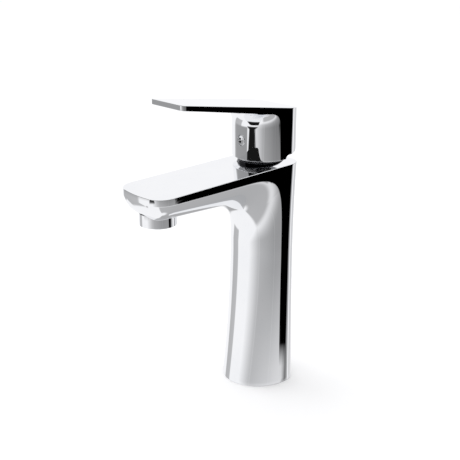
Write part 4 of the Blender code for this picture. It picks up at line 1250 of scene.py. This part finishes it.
@dataclass
class TrimRing:
    """Low ring round the foot of the hub, chromed near-black as painted shade for the gap under the hub."""

    shoulder: float = 1.2
    rim: float = 0.35
    bore: float = 10.6

    def build(self, palette: Palette) -> None:
        """Turn the ring and put its finish on.

        Args:
            palette: The finishes.
        """
        low, high = millimetres("cap_ring")
        outer = (high.x - low.x) / 2
        corners = [(self.bore, high.z), (outer, high.z), (outer, low.z), (self.bore, low.z)]
        profile = Mesher.softened(corners, (self.rim, self.shoulder, self.rim, self.rim))
        mesh = Mesher.lathe("trim_ring", profile, (low.y + high.y) / 2)
        # The near-black finish paints the shadow gap under the hub foot onto the ring.
        palette.add("trim_ring", mesh, SHADOW_GAP_CHROME, ["cap_ring"], 40.0)


@dataclass
class Aerator:
    """Chromed aerator ring with its insert, screen and washer."""

    wall: float = 1.6
    flange: float = 1.0
    flange_height: float = 1.5
    softening: tuple[float, ...] = (0.15, 0.15, 0.1, 0.15, 0.45, 0.3, 0.1, 0.1)

    def build(self, palette: Palette) -> None:
        """Turn the ring and dress what it holds.

        Args:
            palette: The finishes.
        """
        low, high = millimetres("aerator_housing")
        outer = (high.x - low.x) / 2
        neck = outer - AERATOR_LIP
        bore = neck - self.wall
        mouth = bore - self.flange
        shoulder, ledge = low.z + AERATOR_COLLAR, low.z + self.flange_height
        corners = [(bore, high.z), (neck, high.z), (neck, shoulder), (outer, shoulder), (outer, low.z),
                   (mouth, low.z), (mouth, ledge), (bore, ledge)]
        profile = Mesher.softened(corners, self.softening)
        mesh = Mesher.lathe("aerator_ring", profile, (low.y + high.y) / 2)
        palette.add("aerator_ring", mesh, CHROME, ["aerator_housing"], 40.0)
        palette.dress("aerator_insert", WHITE_PLASTIC)
        palette.dress("flow_screen", STEEL)
        palette.dress("aerator_washer", RUBBER)


@dataclass
class Cartridge:
    """The cartridge and its seals, carried over from the frame."""

    finishes: dict[str, Finish] = field(default_factory=lambda: {
        "cartridge_housing": GREY_PLASTIC, "cartridge_base": GREY_PLASTIC, "cartridge_nut": BRASS,
        "cartridge_o_ring": RUBBER, "seal_hot": RUBBER, "seal_cold": RUBBER, "base_gasket": RUBBER,
        "fixed_disc": CERAMIC, "moving_disc": CERAMIC, "disc_driver": WHITE_PLASTIC,
        "stem_guide": WHITE_PLASTIC, "lever_pin": STEEL,
    })

    def build(self, palette: Palette) -> None:
        """Dress every node of the cartridge."""
        for node, finish in self.finishes.items():
            palette.dress(node, finish)


@dataclass(frozen=True)
class Panel:
    """One studio panel as seen from the object, four-sided in azimuth and elevation."""

    low: float
    high: float
    at_low: Pair
    at_high: Pair
    tones: Pair
    soft: float = 2.0
    lift_below: float = 0.0
    fall_above: float = 0.0
    level: float = -19.7

    def over(self, tone: float, azimuth: float, elevation: float) -> float:
        """Return the tone seen in a direction once this panel is in front of it.

        Args:
            tone: The tone behind the panel.
            azimuth: Degrees from +X towards +Y.
            elevation: Degrees above the horizon.

        Returns:
            The mixed tone.
        """
        rise = held((elevation - self.low) / (self.high - self.low))
        start = blend(self.at_low[0], self.at_high[0], rise)
        span = blend(self.at_low[1], self.at_high[1], rise) - start
        place = (azimuth - start - span / 2 + 180.0) % 360.0 - 180.0 + span / 2
        sides = min(smooth_step(place / self.soft + 0.5), smooth_step((span - place) / self.soft + 0.5))
        ends = min(smooth_step((elevation - self.low) / self.soft + 0.5),
                   smooth_step((self.high - elevation) / self.soft + 0.5))
        mine = blend(*self.tones, held(place / max(span, 1e-6)))
        mine += self.lift_below * max(0.0, self.level - elevation)
        mine -= self.fall_above * max(0.0, elevation - self.level)
        return blend(tone, held(mine), sides * ends)


@dataclass
class Studio:
    """Pale floor, soft light, the panels that the chrome mirrors, and the camera."""

    distance: float = 3.0
    middle: float = 0.1
    across: int = 240
    up: int = 120
    warmth: float = 0.985
    floor_reach: float = 12.0
    azimuth: float = 52.0
    elevation: float = 18.296
    focal: float = 62.873
    eye: Triple = (0.402466, -0.335689, 0.281895)
    panels: tuple[Panel, ...] = (
        Panel(-62.0, 28.0, (-98.0, -62.0), (-98.0, -62.0), (1.0, 0.50), 4.0, 0.04, 0.015),
        Panel(-62.0, 28.0, (-62.0, -8.0), (-62.0, -8.0), (0.50, 0.36), 2.0, 0.05, 0.015),
        Panel(-62.0, 28.0, (-8.0, 60.0), (-8.0, 60.0), (0.36, 0.38), 2.0, 0.05, 0.015),
        Panel(-80.0, -32.0, (-64.0, 160.0), (-64.0, 160.0), (0.50, 0.42), 12.0),
        Panel(-30.0, 28.0, (190.0, 218.0), (190.0, 218.0), (0.50, 0.54), 3.0),
        Panel(-13.5, 28.0, (196.0, 240.0), (196.0, 240.0), (0.36, 0.33), 3.0),
        Panel(-15.5, -8.0, (-122.0, -85.0), (-112.0, -99.0), (0.01, 0.01), 1.6),
        Panel(-4.0, 28.0, (-120.0, 54.0), (-120.0, 54.0), (0.01, 0.01), 3.0),
        Panel(-30.0, 28.0, (40.0, 62.0), (54.0, 72.0), (0.14, 0.60), 3.0),
        Panel(-26.5, 28.0, (37.5, 42.0), (8.0, 92.0), (0.0, 0.0), 1.4),
        Panel(-10.3, 28.0, (18.0, 60.0), (18.0, 60.0), (0.0, 0.0), 0.8),
        Panel(-30.0, 28.0, (72.0, 128.0), (88.0, 128.0), (0.62, 0.86), 6.0),
    )

    def _place(self, name: str, mesh: Mesh, material: Material, seen: bool) -> None:
        """Put a stage object in the scene.

        Args:
            name: Its name.
            mesh: Its mesh.
            material: Its material.
            seen: Whether the camera sees it. If not, only mirroring surfaces do.
        """
        mesh.materials.append(material)
        obj = put_in_scene(name, mesh)
        obj.visible_glossy = not seen
        obj.visible_camera = obj.visible_diffuse = seen
        obj.visible_shadow = obj.visible_transmission = seen
        obj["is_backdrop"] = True

    def floor(self) -> None:
        """Lay the pale floor, which the chrome does not mirror, because the dome stands in for it."""
        material = bpy.data.materials.new("pale_floor")
        material.use_nodes = True
        set_inputs(material.node_tree.nodes["Principled BSDF"], ("Base Color", (0.92, 0.92, 0.93, 1.0)),
                   ("Roughness", 0.9), ("Specular IOR Level", 0.0),
                   ("Emission Color", (1.0, 1.0, 1.0, 1.0)), ("Emission Strength", 0.10))
        bottom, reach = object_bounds()[0].z, self.floor_reach
        sides = ((-reach, -reach), (reach, -reach), (reach, reach), (-reach, reach))
        mesh = bpy.data.meshes.new("floor")
        mesh.from_pydata([(x, y, bottom) for x, y in sides], [], [(0, 1, 2, 3)])
        self._place("floor", mesh, material, True)

    def tone(self, azimuth: float, elevation: float) -> float:
        """Return the studio's tone in a direction.

        Args:
            azimuth: Degrees from +X towards +Y.
            elevation: Degrees above the horizon.

        Returns:
            The tone, 1 being white.
        """
        value = 1.0
        for panel in self.panels:
            value = panel.over(value, azimuth, elevation)
        return value

    def dome(self) -> None:
        """Hang the panels as one dome that only the chrome sees."""
        across, up = self.across, self.up
        points, tones, faces = [], [], []
        for row in range(up + 1):
            elevation = blend(-90.0, 90.0, row / up)
            for column in range(across):
                azimuth = 360.0 * column / across
                a, e = math.radians(azimuth), math.radians(elevation)
                out = self.distance * math.cos(a) * math.cos(e)
                side = self.distance * math.sin(a) * math.cos(e)
                points.append((out, side, self.middle + self.distance * math.sin(e)))
                tones.append(self.tone(azimuth, elevation))
        for row in range(up):
            low, high = row * across, (row + 1) * across
            for column in range(across):
                after = (column + 1) % across
                faces.append((low + column, low + after, high + after, high + column))
        mesh = bpy.data.meshes.new("panel_dome")
        mesh.from_pydata(points, [], faces)
        layer = mesh.attributes.new("tone", "FLOAT_COLOR", "POINT")
        flat = np.ones((len(tones), 4), np.float32)
        flat[:, 0] = flat[:, 1] = np.array(tones) * self.warmth
        flat[:, 2] = tones
        layer.data.foreach_set("color", flat.ravel())
        material = bpy.data.materials.new("panel_glow")
        material.use_nodes = True
        tree = material.node_tree
        tree.nodes.clear()
        read = add_node(tree, "ShaderNodeAttribute")
        read.attribute_name = "tone"
        glow = add_node(tree, "ShaderNodeEmission")
        out = add_node(tree, "ShaderNodeOutputMaterial")
        wire(tree, (read, "Color", glow, "Color"), (glow, "Emission", out, "Surface"))
        self._place("panel_dome", mesh, material, False)

    def light(self) -> None:
        """Set the even white world and one large overhead softbox."""
        world = bpy.data.worlds.new("white_room")
        world.use_nodes = True
        set_inputs(world.node_tree.nodes["Background"], ("Color", (1.0, 1.0, 1.0, 1.0)), ("Strength", 1.0))
        bpy.context.scene.world = world
        lamp = bpy.data.lights.new("softbox", "AREA")
        lamp.shape = "DISK"
        lamp.size = 0.8
        lamp.energy = 4.0
        holder = put_in_scene("softbox", lamp)
        holder.location = (-0.5, -0.3, 1.2)
        aim = Vector((0.0, 0.0, self.middle)) - holder.location
        holder.rotation_euler = aim.to_track_quat("-Z", "Y").to_euler()
        holder.visible_glossy = False

    def camera(self) -> None:
        """Place the camera at the usual three-quarter view of the mixer."""
        azimuth, elevation = math.radians(self.azimuth), math.radians(self.elevation)
        back = Vector((math.sin(azimuth) * math.cos(elevation), -math.cos(azimuth) * math.cos(elevation),
                       math.sin(elevation)))
        lens = bpy.data.cameras.new("camera")
        lens.sensor_width = 36.0
        lens.lens = self.focal
        lens.clip_start = 0.01
        lens.clip_end = 50.0
        eye = put_in_scene("camera", lens)
        eye.rotation_mode = "QUATERNION"
        eye.location = self.eye
        eye.rotation_quaternion = (-back).to_track_quat("-Z", "Y")
        bpy.context.scene.camera = eye

    def build(self) -> None:
        """Set up the whole studio."""
        self.floor()
        self.dome()
        self.light()
        self.camera()
        bpy.context.scene.view_settings.view_transform = "Standard"
        LOG.info("studio: %d panels", len(self.panels))


def corners(box: tuple[Vector, Vector]) -> list[list[float]]:
    """Return a box as plain lists of numbers."""
    return [list(box[0]), list(box[1])]


def main() -> None:
    """Build every sub-assembly in order, then the studio."""
    logging.basicConfig(level=logging.INFO, format="%(name)s %(message)s")
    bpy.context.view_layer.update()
    palette = Palette()
    for part in (BodyCasting(), LeverAssembly(), TrimRing(), Aerator(), Cartridge()):
        part.build(palette)
    Studio().build()
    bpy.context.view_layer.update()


if __name__ == "__main__":
    main()
